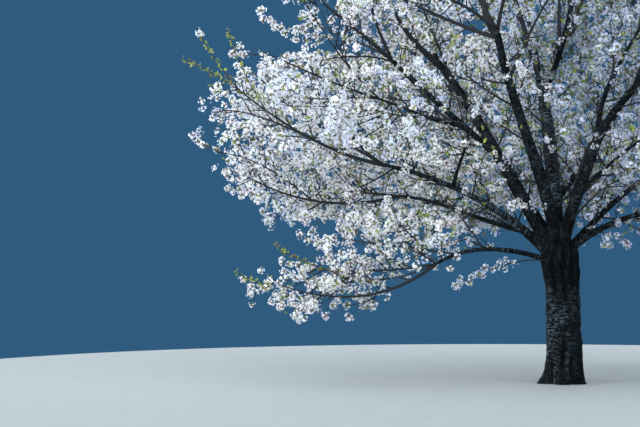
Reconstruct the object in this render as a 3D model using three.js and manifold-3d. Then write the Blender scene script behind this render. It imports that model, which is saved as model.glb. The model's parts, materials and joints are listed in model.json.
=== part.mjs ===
// White cherry tree in full blossom, with its first young leaves. Millimetres, +Z up.
// The origin is the centre of the flat cut at ground level, and the longest limb reaches along -X.
//
// The tree is a trunk, boughs that each taper from a fork to a tip, and masses of blossom that grow
// on from the bough tips. A mass is one stem, the twigs that leave it and the sprays that they carry.

import * as THREE from "three";
import { mergeVertices } from "three/addons/utils/BufferGeometryUtils.js";
import Module from "manifold-3d";

const wasm = await Module();
wasm.setup();

// Faces and clearance
const clearance = 0.3; // between two pieces that meet
const trunkSides = 14;
const boughSides = 6;
const boughSteps = 7;
const boughTaper = 0.8; // below 1 a bough thins soonest near its foot
const stemSides = 3;
const stemSteps = 3;
const twigSides = 3;

const bark = { color: 0x2b2a2c, roughness: 0.92, metalness: 0 };
const petals = { color: 0xe9e9f2, roughness: 0.7, metalness: 0 };

// The trunk's sections: height, where its leaning axis is, and radius
const trunkSections = [
  { z: 0, x: 6, y: 0, radius: 225 },
  { z: 70, x: 12, y: 0, radius: 219 },
  { z: 190, x: 18, y: 2, radius: 213 },
  { z: 480, x: 14, y: 4, radius: 211 },
  { z: 780, x: 4, y: 6, radius: 203 },
  { z: 1120, x: -2, y: 8, radius: 204 },
  { z: 1300, x: -16, y: 10, radius: 214 },
  { z: 1440, x: -34, y: 12, radius: 230 },
  { z: 1530, x: -32, y: 12, radius: 226 },
  { z: 1620, x: -20, y: 12, radius: 194 },
  { z: 1690, x: -12, y: 12, radius: 120 },
];
// Root flare: where each root leaves the foot, in degrees round it, and how far it stands out
const roots = [
  { heading: 188, out: 120 },
  { heading: 258, out: 62 },
  { heading: 322, out: 70 },
  { heading: 35, out: 62 },
  { heading: 112, out: 88 },
];
const rootWidth = 24; // degrees
const rootHeight = 130; // over this height the flare falls to about a third

// A mass of blossom
const flatness = 0.8; // the height of its space over the width
const stemPast = 0.34; // how far its stem runs past the space's middle, as a share of the radius
const stemTaper = 0.62; // the share of its thickness that a stem loses from foot to tip
const twigsPerMass = 7;
const twigTries = 40; // places up a stem where a twig may leave it
const twigRadius = 6; // where it leaves the stem
const twigReach = 1.25; // the longest twig, as a share of the space's radius
const shortestTwig = 420;
const goldenAngle = 137.5; // from one twig to the next, round the stem
const sprayVariety = 0.15; // a spray is this share larger or smaller
const sprayApart = 0.78; // the nearest two sprays' middles, as a share of their radii together
const sprayInside = 0.8; // the share of a spray's radius that is kept within the space
const wallMargin = 8; // between a spray and its space's edge
const limbMargin = 12; // between a spray or twig and a limb
// A twig swells into two sprays in a row: each ring's share of the length, and its radius
const twigRings = [
  { share: 0.24, radius: 8 },
  { share: 0.42, radius: 150 },
  { share: 0.6, radius: 70 },
  { share: 0.77, radius: 170 },
];
// A third spray grows on one of the two, at the first turn round the twig where it has room
const sideSpray = { half: [165, 145, 280], lean: 60, turns: [40, 130, 220, 310], widest: 0.65 };

// The crown is a dome about its heart, and a mass lies part of the way from the heart to the outline
const crown = { heart: [-200, 0, 3300], across: 4150, near: 3300, far: 3900, up: 3850, down: 2300 };
const massDepth = 0.76;
const massRadius = 930;

// Boughs: which limb each grows on and where (a height on the trunk, a share of a bough's length),
// the heading and rise at which it leaves and arrives, its tip, and its thickness at both ends.
// Headings run anticlockwise from +X, seen from above. Each bough's tip carries masses of blossom,
// at a heading and rise from the crown's heart, with a depth and radius where they aren't the usual.
const boughs = [
  { name: "left_long", on: "trunk", at: 1330, leaves: [182, 55], tip: [-2130, -250, 2580],
    arrives: [184, 12], thick: [150, 54],
    blossom: [{ at: [184, 7], depth: 0.84, radius: 1000 }, { at: [217, -5] }] },
  { name: "left_leader", on: "trunk", at: 1480, leaves: [162, 56], tip: [-1420, 900, 3930],
    arrives: [148, 50], thick: [170, 76],
    blossom: [{ at: [140, 52] }, { at: [118, 20] }] },
  { name: "front_leader", on: "trunk", at: 1480, leaves: [235, 74], tip: [-870, -900, 4050],
    arrives: [235, 68], thick: [166, 86],
    blossom: [{ at: [215, 52] }, { at: [262, 42] }, { at: [235, 24] }] },
  { name: "centre_leader", on: "trunk", at: 1500, leaves: [110, 78], tip: [-190, 550, 3690],
    arrives: [130, 76], thick: [166, 106],
    blossom: [{ at: [100, 60] }, { at: [92, 28] }] },
  { name: "right_leader", on: "trunk", at: 1450, leaves: [300, 76], tip: [330, -700, 2930],
    arrives: [310, 65], thick: [168, 116], blossom: [] },
  { name: "back", on: "trunk", at: 1480, leaves: [70, 56], tip: [520, 1600, 2750],
    arrives: [80, 30], thick: [110, 60],
    blossom: [{ at: [80, -24] }, { at: [86, 2] }, { at: [56, -4] }] },
  { name: "back_left", on: "trunk", at: 1420, leaves: [140, 46], tip: [-1200, 1400, 2400],
    arrives: [125, 20], thick: [96, 54],
    blossom: [{ at: [112, -20] }, { at: [138, -4] }] },
  { name: "right_low", on: "trunk", at: 1480, leaves: [345, 46], tip: [1350, -600, 2120],
    arrives: [340, 8], thick: [98, 50],
    blossom: [{ at: [350, -33] }, { at: [322, -25] }] },
  { name: "right_second", on: "trunk", at: 1460, leaves: [28, 46], tip: [1300, 650, 2600],
    arrives: [20, 30], thick: [100, 54],
    blossom: [{ at: [8, -14] }, { at: [36, -24] }, { at: [26, 8] }] },
  { name: "left_low", on: "trunk", at: 1390, leaves: [200, 24], tip: [-1540, -550, 1420],
    arrives: [203, -30], thick: [74, 44],
    blossom: [{ at: [199, -52], depth: 1.06, radius: 850 }, { at: [215, -55], depth: 0.82, radius: 650 }] },
  { name: "left_second", on: "left_long", at: 0.27, leaves: [165, 10], tip: [-1920, 450, 2240],
    arrives: [170, 4], thick: [68, 44],
    blossom: [{ at: [172, -33] }, { at: [145, -32] }] },
  { name: "left_upper", on: "left_leader", at: 0.5, leaves: [180, 40], tip: [-2010, 500, 3910],
    arrives: [178, 45], thick: [94, 62],
    blossom: [{ at: [178, 44] }, { at: [150, 22] }] },
  { name: "left_middle", on: "left_upper", at: 0.32, leaves: [184, 6], tip: [-2170, 200, 3400],
    arrives: [186, 18], thick: [52, 36],
    blossom: [{ at: [190, 24] }, { at: [164, 3] }, { at: [209, 18] }] },
  { name: "front_left", on: "left_long", at: 0.66, leaves: [280, 50], tip: [-1250, -1350, 2950],
    arrives: [262, 30], thick: [50, 34],
    blossom: [{ at: [234, -8], depth: 0.8, radius: 800 }] },
  { name: "centre_upper", on: "centre_leader", at: 0.92, leaves: [10, 58], tip: [250, 200, 5000],
    arrives: [0, 76], thick: [86, 56],
    blossom: [{ at: [180, 84] }, { at: [5, 56] }] },
  { name: "right_back", on: "centre_leader", at: 0.3, leaves: [35, 45], tip: [1250, 1500, 3900],
    arrives: [40, 50], thick: [88, 52],
    blossom: [{ at: [44, 24] }, { at: [55, 52] }] },
  { name: "right_outer", on: "right_leader", at: 0.96, leaves: [330, 62], tip: [1100, -900, 3850],
    arrives: [345, 45], thick: [94, 60],
    blossom: [{ at: [354, 10] }, { at: [355, 38] }] },
  { name: "right_upper", on: "right_leader", at: 0.96, leaves: [250, 80], tip: [650, -1400, 4020],
    arrives: [305, 50], thick: [66, 46],
    blossom: [{ at: [318, 22] }, { at: [292, 36] }, { at: [305, 60] }] },
  { name: "front_right", on: "right_leader", at: 0.5, leaves: [292, 30], tip: [750, -1850, 2900],
    arrives: [300, 25], thick: [56, 38],
    blossom: [{ at: [302, -4], depth: 0.85, radius: 800 }, { at: [328, 0] }] },
];

// Directions and chance
const radians = (degrees) => (degrees * Math.PI) / 180;
const vector = (xyz) => new THREE.Vector3(...xyz);

function direction([heading, rise]) {
  const level = Math.cos(radians(rise));
  return new THREE.Vector3(
    level * Math.cos(radians(heading)),
    level * Math.sin(radians(heading)),
    Math.sin(radians(rise)),
  );
}

// A repeatable source of numbers from 0 to 1
function chance(seed) {
  let state = seed >>> 0;
  return () => {
    state = (Math.imul(state, 1664525) + 1013904223) >>> 0;
    return state / 4294967296;
  };
}

// A limb's centre line: it leaves and arrives in given directions, and is as curved as that asks.
function centreLine(from, leaving, to, arriving, steps) {
  const pull = from.distanceTo(to);
  const points = [];
  for (let i = 0; i <= steps; i++) {
    const t = i / steps;
    const t2 = t * t;
    const t3 = t2 * t;
    points.push(
      new THREE.Vector3()
        .addScaledVector(from, 2 * t3 - 3 * t2 + 1)
        .addScaledVector(leaving, (t3 - 2 * t2 + t) * pull)
        .addScaledVector(to, 3 * t2 - 2 * t3)
        .addScaledVector(arriving, (t3 - t2) * pull),
    );
  }
  return points;
}

// The place, thickness and direction at a share of a limb's length
function along(limb, share) {
  const last = limb.points.length - 1;
  const step = Math.min(Math.floor(share * last), last - 1);
  const rest = share * last - step;
  const before = limb.points[step];
  const after = limb.points[step + 1];
  return {
    place: before.clone().lerp(after, rest),
    direction: after.clone().sub(before).normalize(),
    radius: limb.radii[step] + (limb.radii[step + 1] - limb.radii[step]) * rest,
  };
}

// Solids
function solidOf(geometry) {
  const bare = geometry.clone();
  bare.deleteAttribute("normal");
  bare.deleteAttribute("uv");
  const merged = mergeVertices(bare, 1e-3);
  return new wasm.Manifold(
    new wasm.Mesh({
      numProp: 3,
      vertProperties: new Float32Array(merged.attributes.position.array),
      triVerts: new Uint32Array(merged.index.array),
    }),
  );
}

// A closed skin over a row of rings, with a flat cap at each end, or a point where one is given
function skin(rings, point = null) {
  const sides = rings[0].length;
  const positions = rings.flat().flatMap((p) => [p.x, p.y, p.z]);
  const last = (rings.length - 1) * sides;
  const faces = [];
  for (let first = 0; first < last; first += sides) {
    for (let s = 0; s < sides; s++) {
      const a = first + s;
      const b = first + ((s + 1) % sides);
      faces.push(a, b, b + sides, a, b + sides, a + sides);
    }
  }
  for (let s = 1; s < sides - 1; s++) {
    faces.push(0, s + 1, s);
    if (!point) faces.push(last, last + s, last + s + 1);
  }
  if (point) {
    positions.push(point.x, point.y, point.z);
    for (let s = 0; s < sides; s++) faces.push(last + s, last + ((s + 1) % sides), last + sides);
  }
  const geometry = new THREE.BufferGeometry();
  geometry.setAttribute("position", new THREE.Float32BufferAttribute(positions, 3));
  geometry.setIndex(faces);
  return solidOf(geometry);
}

// A tapering round limb. Where it is to cut a clearance, grow moves each of its faces outwards.
function limbSolid({ points, radii }, sides, grow = 0) {
  const last = points.length - 1;
  const wider = grow / Math.cos(Math.PI / sides);
  const side = new THREE.Vector3(0, 0, 1);
  const rings = points.map((point, i) => {
    const tangent = points[Math.min(i + 1, last)].clone().sub(points[Math.max(i - 1, 0)]).normalize();
    side.addScaledVector(tangent, -side.dot(tangent));
    if (side.lengthSq() < 1e-3) side.set(1, 0, 0).addScaledVector(tangent, -tangent.x);
    side.normalize();
    const other = new THREE.Vector3().crossVectors(tangent, side);
    const middle = point.clone();
    if (i === 0) middle.addScaledVector(tangent, -grow);
    if (i === last) middle.addScaledVector(tangent, grow);
    return Array.from({ length: sides }, (_, k) => {
      const turn = (2 * Math.PI * k) / sides;
      return middle
        .clone()
        .addScaledVector(side, Math.cos(turn) * (radii[i] + wider))
        .addScaledVector(other, Math.sin(turn) * (radii[i] + wider));
    });
  });
  return skin(rings);
}

// The trunk's round, leaning sections with the roots' flare
function trunkSolid(grow = 0) {
  const rings = trunkSections.map(({ z, x, y, radius }, i) =>
    Array.from({ length: trunkSides }, (_, k) => {
      const turn = (360 * k) / trunkSides;
      let reach = radius + grow / Math.cos(Math.PI / trunkSides);
      for (const root of roots) {
        const off = Math.abs(((turn - root.heading + 540) % 360) - 180);
        reach += root.out * Math.exp(-z / rootHeight) * Math.exp(-((off / rootWidth) ** 2));
      }
      const top = i === trunkSections.length - 1 ? grow : 0;
      return new THREE.Vector3(
        x + reach * Math.cos(radians(turn)),
        y + reach * Math.sin(radians(turn)),
        z + top,
      );
    }),
  );
  return skin(rings);
}

function overlapping(a, b) {
  const p = a.boundingBox();
  const q = b.boundingBox();
  return [0, 1, 2].every((i) => p.min[i] <= q.max[i] && q.min[i] <= p.max[i]);
}

// Cuts a solid clear of the others, and keeps its largest piece
function clearOf(solid, others) {
  const near = others.filter((other) => overlapping(solid, other));
  if (!near.length) return solid;
  const pieces = solid.subtract(wasm.Manifold.union(near)).decompose();
  return pieces.reduce((best, piece) => (piece.volume() > best.volume() ? piece : best));
}

// Each finished piece has its solid, and a cutter that keeps later pieces the clearance away.
const pieces = [];
const limbs = new Map(); // the centre line and radii of the trunk and each bough

function addPiece(name, finish, solid, cutter) {
  const cutters = pieces.map((other) => other.cutter);
  pieces.push({ name, finish, solid: clearOf(solid, cutters), cutter });
}

// The trunk
limbs.set("trunk", {
  points: trunkSections.map(({ x, y, z }) => new THREE.Vector3(x, y, z)),
  radii: trunkSections.map(({ radius }) => radius),
});
addPiece("trunk", bark, trunkSolid(), trunkSolid(clearance));

function trunkAt(height) {
  const above = trunkSections.findIndex((section) => section.z >= height);
  const [low, high] = limbs.get("trunk").points.slice(above - 1, above + 1);
  return low.clone().lerp(high, (height - low.z) / (high.z - low.z));
}

// The boughs
for (const { name, on, at, leaves, tip, arrives, thick } of boughs) {
  const from = on === "trunk" ? trunkAt(at) : along(limbs.get(on), at).place;
  const points = centreLine(from, direction(leaves), vector(tip), direction(arrives), boughSteps);
  const [foot, end] = thick.map((across) => across / 2);
  const radii = points.map((_, i) => foot + (end - foot) * (i / boughSteps) ** boughTaper);
  const limb = { points, radii };
  limbs.set(name, limb);
  addPiece(`bough_${name}`, bark, limbSolid(limb, boughSides), limbSolid(limb, boughSides, clearance));
}

// The masses, each with its bough and the middle of its space
function inCrown([heading, rise], depth) {
  const towards = direction([heading, rise]);
  return vector(crown.heart).add(
    new THREE.Vector3(
      towards.x * depth * crown.across,
      towards.y * depth * (towards.y < 0 ? crown.near : crown.far),
      towards.z * depth * (towards.z < 0 ? crown.down : crown.up),
    ),
  );
}

const masses = boughs.flatMap(({ name, blossom }) =>
  blossom.map(({ at, depth = massDepth, radius = massRadius }, order) => ({
    name: `blossom_${name}_${order + 1}`,
    bough: name,
    order,
    middle: inCrown(at, depth),
    radius,
  })),
);

// Each mass keeps to its own space. Heights are stretched by the flatness, which makes each space a
// ball, and the plane between two balls keeps their masses apart.
const stretched = (p) => new THREE.Vector3(p.x, p.y, p.z / flatness);
const spaces = masses.map((mass) => ({ middle: stretched(mass.middle), radius: mass.radius }));

function inSpace(index, place, margin) {
  const { middle, radius } = spaces[index];
  const p = stretched(place);
  const own = p.distanceToSquared(middle);
  if (own > (radius - margin) ** 2) return false;
  return spaces.every((other, i) => {
    if (i === index) return true;
    const nearer = p.distanceToSquared(other.middle) - other.radius ** 2 - (own - radius ** 2);
    return nearer >= 2 * margin * other.middle.distanceTo(middle);
  });
}

// How far a place is from a limb's surface
function fromLimb(place, { points, radii }) {
  let least = Infinity;
  for (let i = 0; i < points.length - 1; i++) {
    const run = points[i + 1].clone().sub(points[i]);
    const share = Math.min(1, Math.max(0, place.clone().sub(points[i]).dot(run) / run.lengthSq()));
    const near = points[i].clone().addScaledVector(run, share);
    least = Math.min(least, near.distanceTo(place) - (radii[i] + (radii[i + 1] - radii[i]) * share));
  }
  return least;
}

// The stem of each mass, from its bough's tip to well past the middle of its space
const stems = masses.map((mass) => {
  const end = along(limbs.get(mass.bough), 1);
  const towards = mass.middle.clone().sub(end.place).normalize();
  const leaving = towards.clone().addScaledVector(end.direction, 0.6).normalize();
  const arriving = towards.clone().add(new THREE.Vector3(0, 0, 0.15)).normalize();
  const tip = mass.middle.clone().addScaledVector(towards, mass.radius * stemPast);
  const points = centreLine(end.place, leaving, tip, arriving, stemSteps);
  const foot = end.radius * (0.85 - 0.1 * mass.order);
  return { points, radii: points.map((_, i) => foot * (1 - (stemTaper * i) / stemSteps)) };
});

// Whether a place is clear of every limb, and of every stem but the mass's own
function clearOfLimbs(index, place, radius) {
  const others = [...limbs.values(), ...stems.filter((_, i) => i !== index)];
  return others.every((limb) => fromLimb(place, limb) >= radius + limbMargin);
}

// A heading that leans away from another, turned round it
function leaning(from, lean, turn) {
  const across = new THREE.Vector3(0, 0, 1).cross(from).normalize();
  const up = new THREE.Vector3().crossVectors(from, across);
  return from
    .clone()
    .multiplyScalar(Math.cos(radians(lean)))
    .addScaledVector(across, Math.sin(radians(lean)) * Math.cos(radians(turn)))
    .addScaledVector(up, Math.sin(radians(lean)) * Math.sin(radians(turn)))
    .normalize();
}

// A twig's three-sided skin, which swells twice and ends in a point
function twigSolid({ from, heading, length, size, turn }) {
  const rings = [{ share: 0, radius: twigRadius }, ...twigRings].map(({ share, radius }, i) => {
    const middle = from.clone().addScaledVector(heading, length * share);
    return Array.from({ length: twigSides }, (_, k) => {
      const outwards = leaning(heading, 90, turn + (360 * k) / twigSides + 30 * i);
      return middle.clone().addScaledVector(outwards, radius * size);
    });
  });
  return skin(rings, from.clone().addScaledVector(heading, length));
}

// Whether a spray, or a bare place on a twig, has room in its space, off the limbs and other sprays
function hasRoom(index, place, radius, sprays) {
  return (
    inSpace(index, place, wallMargin + radius * sprayInside) &&
    clearOfLimbs(index, place, radius) &&
    sprays.every((other) => other.place.distanceTo(place) > (other.radius + radius) * sprayApart)
  );
}

function twigFits(index, { from, heading, length, size }, sprays) {
  const checked = [{ share: 0.12, radius: twigRadius }, ...twigRings, { share: 1, radius: 1 }];
  return checked.every(({ share, radius }) => {
    const place = from.clone().addScaledVector(heading, length * share);
    return hasRoom(index, place, radius * size, sprays);
  });
}

// An eight-faced spray, whose root is sunk to the middle of the twig's swelling
function growSideSpray(index, root, heading, size, turn, sprays) {
  const [width, depth, length] = sideSpray.half.map((half) => half * size);
  const widest = root.clone().addScaledVector(heading, 2 * length * sideSpray.widest);
  const tip = root.clone().addScaledVector(heading, 2 * length);
  if (!hasRoom(index, widest, width, sprays) || !hasRoom(index, tip, 1, sprays)) return null;
  sprays.push({ place: widest, radius: width });
  const geometry = new THREE.OctahedronGeometry(1);
  geometry.scale(width, depth, length);
  geometry.rotateZ(radians(turn));
  geometry.applyQuaternion(new THREE.Quaternion().setFromUnitVectors(new THREE.Vector3(0, 0, 1), heading));
  geometry.translate(...root.clone().addScaledVector(heading, length));
  return solidOf(geometry);
}

// A mass: its stem, and twigs that leave the stem at the golden angle, as long as the space allows
function growMass(index) {
  const stem = stems[index];
  const random = chance(index + 1);
  const size = () => 1 + sprayVariety * (2 * random() - 1);
  const parts = [limbSolid(stem, stemSides)];
  const sprays = [];
  let twigs = 0;
  for (let k = 0; k < twigTries && twigs < twigsPerMass; k++) {
    const share = k === 0 ? 0.95 : 0.2 + 0.7 * ((k * 0.618) % 1);
    const at = along(stem, share);
    const lean = k === 0 ? 0 : 96 - 56 * share + 14 * (random() - 0.5);
    const heading = leaning(at.direction, lean, k * goldenAngle);
    const longest = masses[index].radius * twigReach;
    const twig = { from: at.place, heading, length: longest, size: size(), turn: 360 * random() };
    const sideSize = size();
    while (twig.length > shortestTwig && !twigFits(index, twig, sprays)) twig.length *= 0.95;
    if (twig.length <= shortestTwig) continue;
    twigs++;
    parts.push(twigSolid(twig));
    const swellings = [twigRings[1], twigRings[3]].map(({ share, radius }) => ({
      place: at.place.clone().addScaledVector(heading, twig.length * share),
      radius: radius * twig.size,
    }));
    sprays.push(...swellings);
    for (const turn of sideSpray.turns) {
      const away = leaning(heading, sideSpray.lean, twig.turn + turn);
      const side = growSideSpray(index, swellings[k % 2].place, away, sideSize, twig.turn, sprays);
      if (!side) continue;
      parts.push(side);
      break;
    }
  }
  return wasm.Manifold.union(parts);
}

masses.forEach(({ name }, index) => {
  addPiece(name, petals, growMass(index), limbSolid(stems[index], stemSides, clearance));
});

// The finished tree
function meshOf({ name, finish, solid }) {
  const { vertProperties, triVerts, numProp } = solid.getMesh();
  const positions = [];
  for (let i = 0; i < vertProperties.length; i += numProp) {
    positions.push(vertProperties[i], vertProperties[i + 1], vertProperties[i + 2]);
  }
  const geometry = new THREE.BufferGeometry();
  geometry.setAttribute("position", new THREE.Float32BufferAttribute(positions, 3));
  geometry.setIndex([...triVerts]);
  geometry.computeVertexNormals();
  const mesh = new THREE.Mesh(geometry, new THREE.MeshStandardMaterial(finish));
  mesh.name = name;
  return mesh;
}

const tree = new THREE.Group();
tree.name = "white_cherry_tree";
for (const piece of pieces) tree.add(meshOf(piece));

export default tree;
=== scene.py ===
import json
import math

import bpy
import numpy as np
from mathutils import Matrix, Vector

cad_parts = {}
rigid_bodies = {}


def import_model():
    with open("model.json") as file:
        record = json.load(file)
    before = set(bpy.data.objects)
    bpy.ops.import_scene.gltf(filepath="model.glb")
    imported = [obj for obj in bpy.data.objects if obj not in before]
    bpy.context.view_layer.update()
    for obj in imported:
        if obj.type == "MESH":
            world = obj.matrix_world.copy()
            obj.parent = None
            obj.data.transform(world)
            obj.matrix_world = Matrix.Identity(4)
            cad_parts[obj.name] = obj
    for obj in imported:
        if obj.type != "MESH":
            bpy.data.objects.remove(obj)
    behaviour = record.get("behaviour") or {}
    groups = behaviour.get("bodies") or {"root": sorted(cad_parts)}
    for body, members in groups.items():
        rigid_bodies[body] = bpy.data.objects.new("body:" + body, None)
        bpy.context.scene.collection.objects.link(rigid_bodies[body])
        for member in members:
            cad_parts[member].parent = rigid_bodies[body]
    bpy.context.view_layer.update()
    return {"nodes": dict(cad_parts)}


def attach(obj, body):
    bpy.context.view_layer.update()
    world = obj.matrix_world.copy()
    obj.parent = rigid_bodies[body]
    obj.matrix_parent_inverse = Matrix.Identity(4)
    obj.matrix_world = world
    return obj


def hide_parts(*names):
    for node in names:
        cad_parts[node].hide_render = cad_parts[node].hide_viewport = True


# White cherry tree in full blossom. Metres, +Z up, the trunk's foot at the origin.
# The trunk, boughs and masses follow the same rule as the solids, and grow on from there:
# limb, stem, twig, shoot, and along them umbels of flowers with their young leaves.

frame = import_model()
print("frame loaded,", len(frame["nodes"]), "solids")

zUp = np.array([0.0, 0.0, 1.0])
goldenAngle = 137.5
goldenShare = 0.618
seeds = {  # each kind of growth has random draws of its own
    "mass": 1000, "bough": 5000, "whip": 7000, "lesserLimb": 9000, "thinning": 31, "gap": 53,
    "umbel": 77, "flowerKind": 40, "leafKind": 60,
}


# Directions and chance

def direction(heading, rise):
    level = math.cos(math.radians(rise))
    return np.array([
        level * math.cos(math.radians(heading)),
        level * math.sin(math.radians(heading)),
        math.sin(math.radians(rise)),
    ])


def unit(v):
    return v / math.sqrt(v @ v)


def chance(seed):
    state = seed

    def draw():
        nonlocal state
        state = (state * 1664525 + 1013904223) % 4294967296
        return state / 4294967296

    return draw


# a random value from a spread, which is given as its least value and its span
def pick(spread, draw):
    least, span = spread
    return least + span * draw()


# a heading that leans away from another, turned round it
def leaning(ahead, lean, turn):
    across = unit(np.cross(zUp, ahead))
    up = np.cross(ahead, across)
    out = math.sin(math.radians(lean))
    turned = math.radians(turn)
    return unit(math.cos(math.radians(lean)) * ahead
                + out * math.cos(turned) * across
                + out * math.sin(turned) * up)


# a limb's centre line, which leaves and arrives in given directions
def centreLine(start, leaving, end, arriving, steps):
    t = np.linspace(0, 1, steps + 1)[:, None]
    pull = np.linalg.norm(end - start)
    return ((2 * t**3 - 3 * t**2 + 1) * start + (t**3 - 2 * t**2 + t) * pull * leaving
            + (3 * t**2 - 2 * t**3) * end + (t**3 - t**2) * pull * arriving)


def lengthOf(points):
    return np.linalg.norm(np.diff(points, axis=0), axis=1).sum()


# the place, direction and radius at a share of a limb's length
def along(limb, share):
    points, radii = limb
    last = len(points) - 1
    step = min(int(share * last), last - 1)
    rest = share * last - step
    before, after = points[step], points[step + 1]
    return (before + (after - before) * rest, unit(after - before),
            radii[step] + (radii[step + 1] - radii[step]) * rest)


# Trunk and boughs

trunk = {
    "sections": [  # height, where the leaning axis is, radius
        (0, 0.006, 0, 0.225), (0.07, 0.012, 0, 0.219), (0.19, 0.018, 0.002, 0.213),
        (0.48, 0.014, 0.004, 0.211), (0.78, 0.004, 0.006, 0.203), (1.12, -0.002, 0.008, 0.204),
        (1.30, -0.016, 0.01, 0.214), (1.44, -0.034, 0.012, 0.23), (1.53, -0.032, 0.012, 0.226),
        (1.62, -0.02, 0.012, 0.194), (1.69, -0.012, 0.012, 0.12),
    ],
    "roots": [(188, 0.12), (258, 0.062), (322, 0.07), (35, 0.062), (112, 0.088)],  # heading, reach
    "rootWidth": 24,
    "rootHeight": 0.13,
}

boughSteps = 7
boughTaper = 0.8
boughs = {
    # The limb it leaves, and where; the heading and rise it leaves with; its tip; the heading and
    # rise it arrives with; its thickness at both ends; and its masses, each by its heading and
    # rise from the crown's heart, with a depth and radius where they aren't the crown's usual ones.
    "left_long": ("trunk", 1.33, (182, 55), (-2.13, -0.25, 2.58), (184, 12), (0.15, 0.054),
                  [(184, 7, 0.84, 1.0), (217, -5)]),
    "left_leader": ("trunk", 1.48, (162, 56), (-1.42, 0.9, 3.93), (148, 50), (0.17, 0.076),
                    [(140, 52), (118, 20)]),
    "front_leader": ("trunk", 1.48, (235, 74), (-0.87, -0.9, 4.05), (235, 68), (0.166, 0.086),
                     [(215, 52), (262, 42), (235, 24)]),
    "centre_leader": ("trunk", 1.5, (110, 78), (-0.19, 0.55, 3.69), (130, 76), (0.166, 0.106),
                      [(100, 60), (92, 28)]),
    "right_leader": ("trunk", 1.45, (300, 76), (0.33, -0.7, 2.93), (310, 65), (0.168, 0.116), []),
    "back": ("trunk", 1.48, (70, 56), (0.52, 1.6, 2.75), (80, 30), (0.11, 0.06),
             [(80, -24), (86, 2), (56, -4)]),
    "back_left": ("trunk", 1.42, (140, 46), (-1.2, 1.4, 2.4), (125, 20), (0.096, 0.054),
                  [(112, -20), (138, -4)]),
    "right_low": ("trunk", 1.48, (345, 46), (1.35, -0.6, 2.12), (340, 8), (0.098, 0.05),
                  [(350, -33), (322, -25)]),
    "right_second": ("trunk", 1.46, (28, 46), (1.3, 0.65, 2.6), (20, 30), (0.1, 0.054),
                     [(8, -14), (36, -24), (26, 8)]),
    "left_low": ("trunk", 1.39, (200, 24), (-1.54, -0.55, 1.42), (203, -30), (0.074, 0.044),
                 [(199, -52, 1.06, 0.85), (215, -55, 0.82, 0.65)]),
    "left_second": ("left_long", 0.27, (165, 10), (-1.92, 0.45, 2.24), (170, 4), (0.068, 0.044),
                    [(172, -33), (145, -32)]),
    "left_upper": ("left_leader", 0.5, (180, 40), (-2.01, 0.5, 3.91), (178, 45), (0.094, 0.062),
                   [(178, 44), (150, 22)]),
    "left_middle": ("left_upper", 0.32, (184, 6), (-2.17, 0.2, 3.4), (186, 18), (0.052, 0.036),
                    [(190, 24), (164, 3), (209, 18)]),
    "front_left": ("left_long", 0.66, (280, 50), (-1.25, -1.35, 2.95), (262, 30), (0.05, 0.034),
                   [(234, -8, 0.8, 0.8)]),
    "centre_upper": ("centre_leader", 0.92, (10, 58), (0.25, 0.2, 5.0), (0, 76), (0.086, 0.056),
                     [(180, 84), (5, 56)]),
    "right_back": ("centre_leader", 0.3, (35, 45), (1.25, 1.5, 3.9), (40, 50), (0.088, 0.052),
                   [(44, 24), (55, 52)]),
    "right_outer": ("right_leader", 0.96, (330, 62), (1.1, -0.9, 3.85), (345, 45), (0.094, 0.06),
                    [(354, 10), (355, 38)]),
    "right_upper": ("right_leader", 0.96, (250, 80), (0.65, -1.4, 4.02), (305, 50), (0.066, 0.046),
                    [(318, 22), (292, 36), (305, 60)]),
    "front_right": ("right_leader", 0.5, (292, 30), (0.75, -1.85, 2.9), (300, 25), (0.056, 0.038),
                    [(302, -4, 0.85, 0.8), (328, 0)]),
}

sections = np.array(trunk["sections"], float)
limbs = {"trunk": (sections[:, [1, 2, 0]], sections[:, 3])}


def growBough(start, leaves, tip, arrives, thick, steps):
    points = centreLine(start, direction(*leaves), np.array(tip, float), direction(*arrives), steps)
    foot, end = thick[0] / 2, thick[1] / 2
    return points, foot + (end - foot) * np.linspace(0, 1, steps + 1) ** boughTaper


def footOf(parent, at):
    if parent != "trunk":
        return along(limbs[parent], at)[0]
    return np.array([np.interp(at, sections[:, 0], sections[:, column]) for column in (1, 2, 0)])


for name, (parent, at, *shape, blossom) in boughs.items():
    limbs[name] = growBough(footOf(parent, at), *shape, boughSteps)

# Masses: each has a space, a flattened ball, with a plane between it and each of its neighbours

crown = {
    "heart": (-0.2, 0, 3.3), "across": 4.15, "near": 3.3, "far": 3.9, "up": 3.85, "down": 2.3,
    "massDepth": 0.76, "massRadius": 0.93, "flatness": 0.8,
}


def inCrown(heading, rise, depth):
    towards = direction(heading, rise)
    reach = [crown["across"], crown["near"] if towards[1] < 0 else crown["far"],
             crown["down"] if towards[2] < 0 else crown["up"]]
    return np.array(crown["heart"]) + towards * depth * reach


masses = []
for name, (*_, blossom) in boughs.items():
    for order, mass in enumerate(blossom):
        heading, rise, depth, radius = (*mass, crown["massDepth"], crown["massRadius"])[:4]
        masses.append(dict(name=f"blossom_{name}_{order + 1}", bough=name, order=order,
                           middle=inCrown(heading, rise, depth), radius=radius))

stretch = np.array([1, 1, 1 / crown["flatness"]])
middles = np.array([mass["middle"] * stretch for mass in masses])
reaches = np.array([mass["radius"] for mass in masses])
apart = np.linalg.norm(middles[:, None] - middles[None], axis=2)


def inSpace(index, place, margin):
    p = place * stretch
    squares = ((p - middles) ** 2).sum(1)
    own = squares[index]
    if own > (reaches[index] - margin) ** 2:
        return False
    nearer = squares - reaches**2 - (own - reaches[index] ** 2)
    return bool((nearer >= 2 * margin * apart[index]).all())


# Stems, from the boughs' tips to well past the middles of the spaces

stem = {"past": 0.34, "taper": 0.62, "steps": 3, "fineSteps": 9, "sweep": 0.6, "lift": 0.15,
        "foot": 0.85, "thinnerEach": 0.1}  # how thick the first stem starts, and how much less each next one


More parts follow.
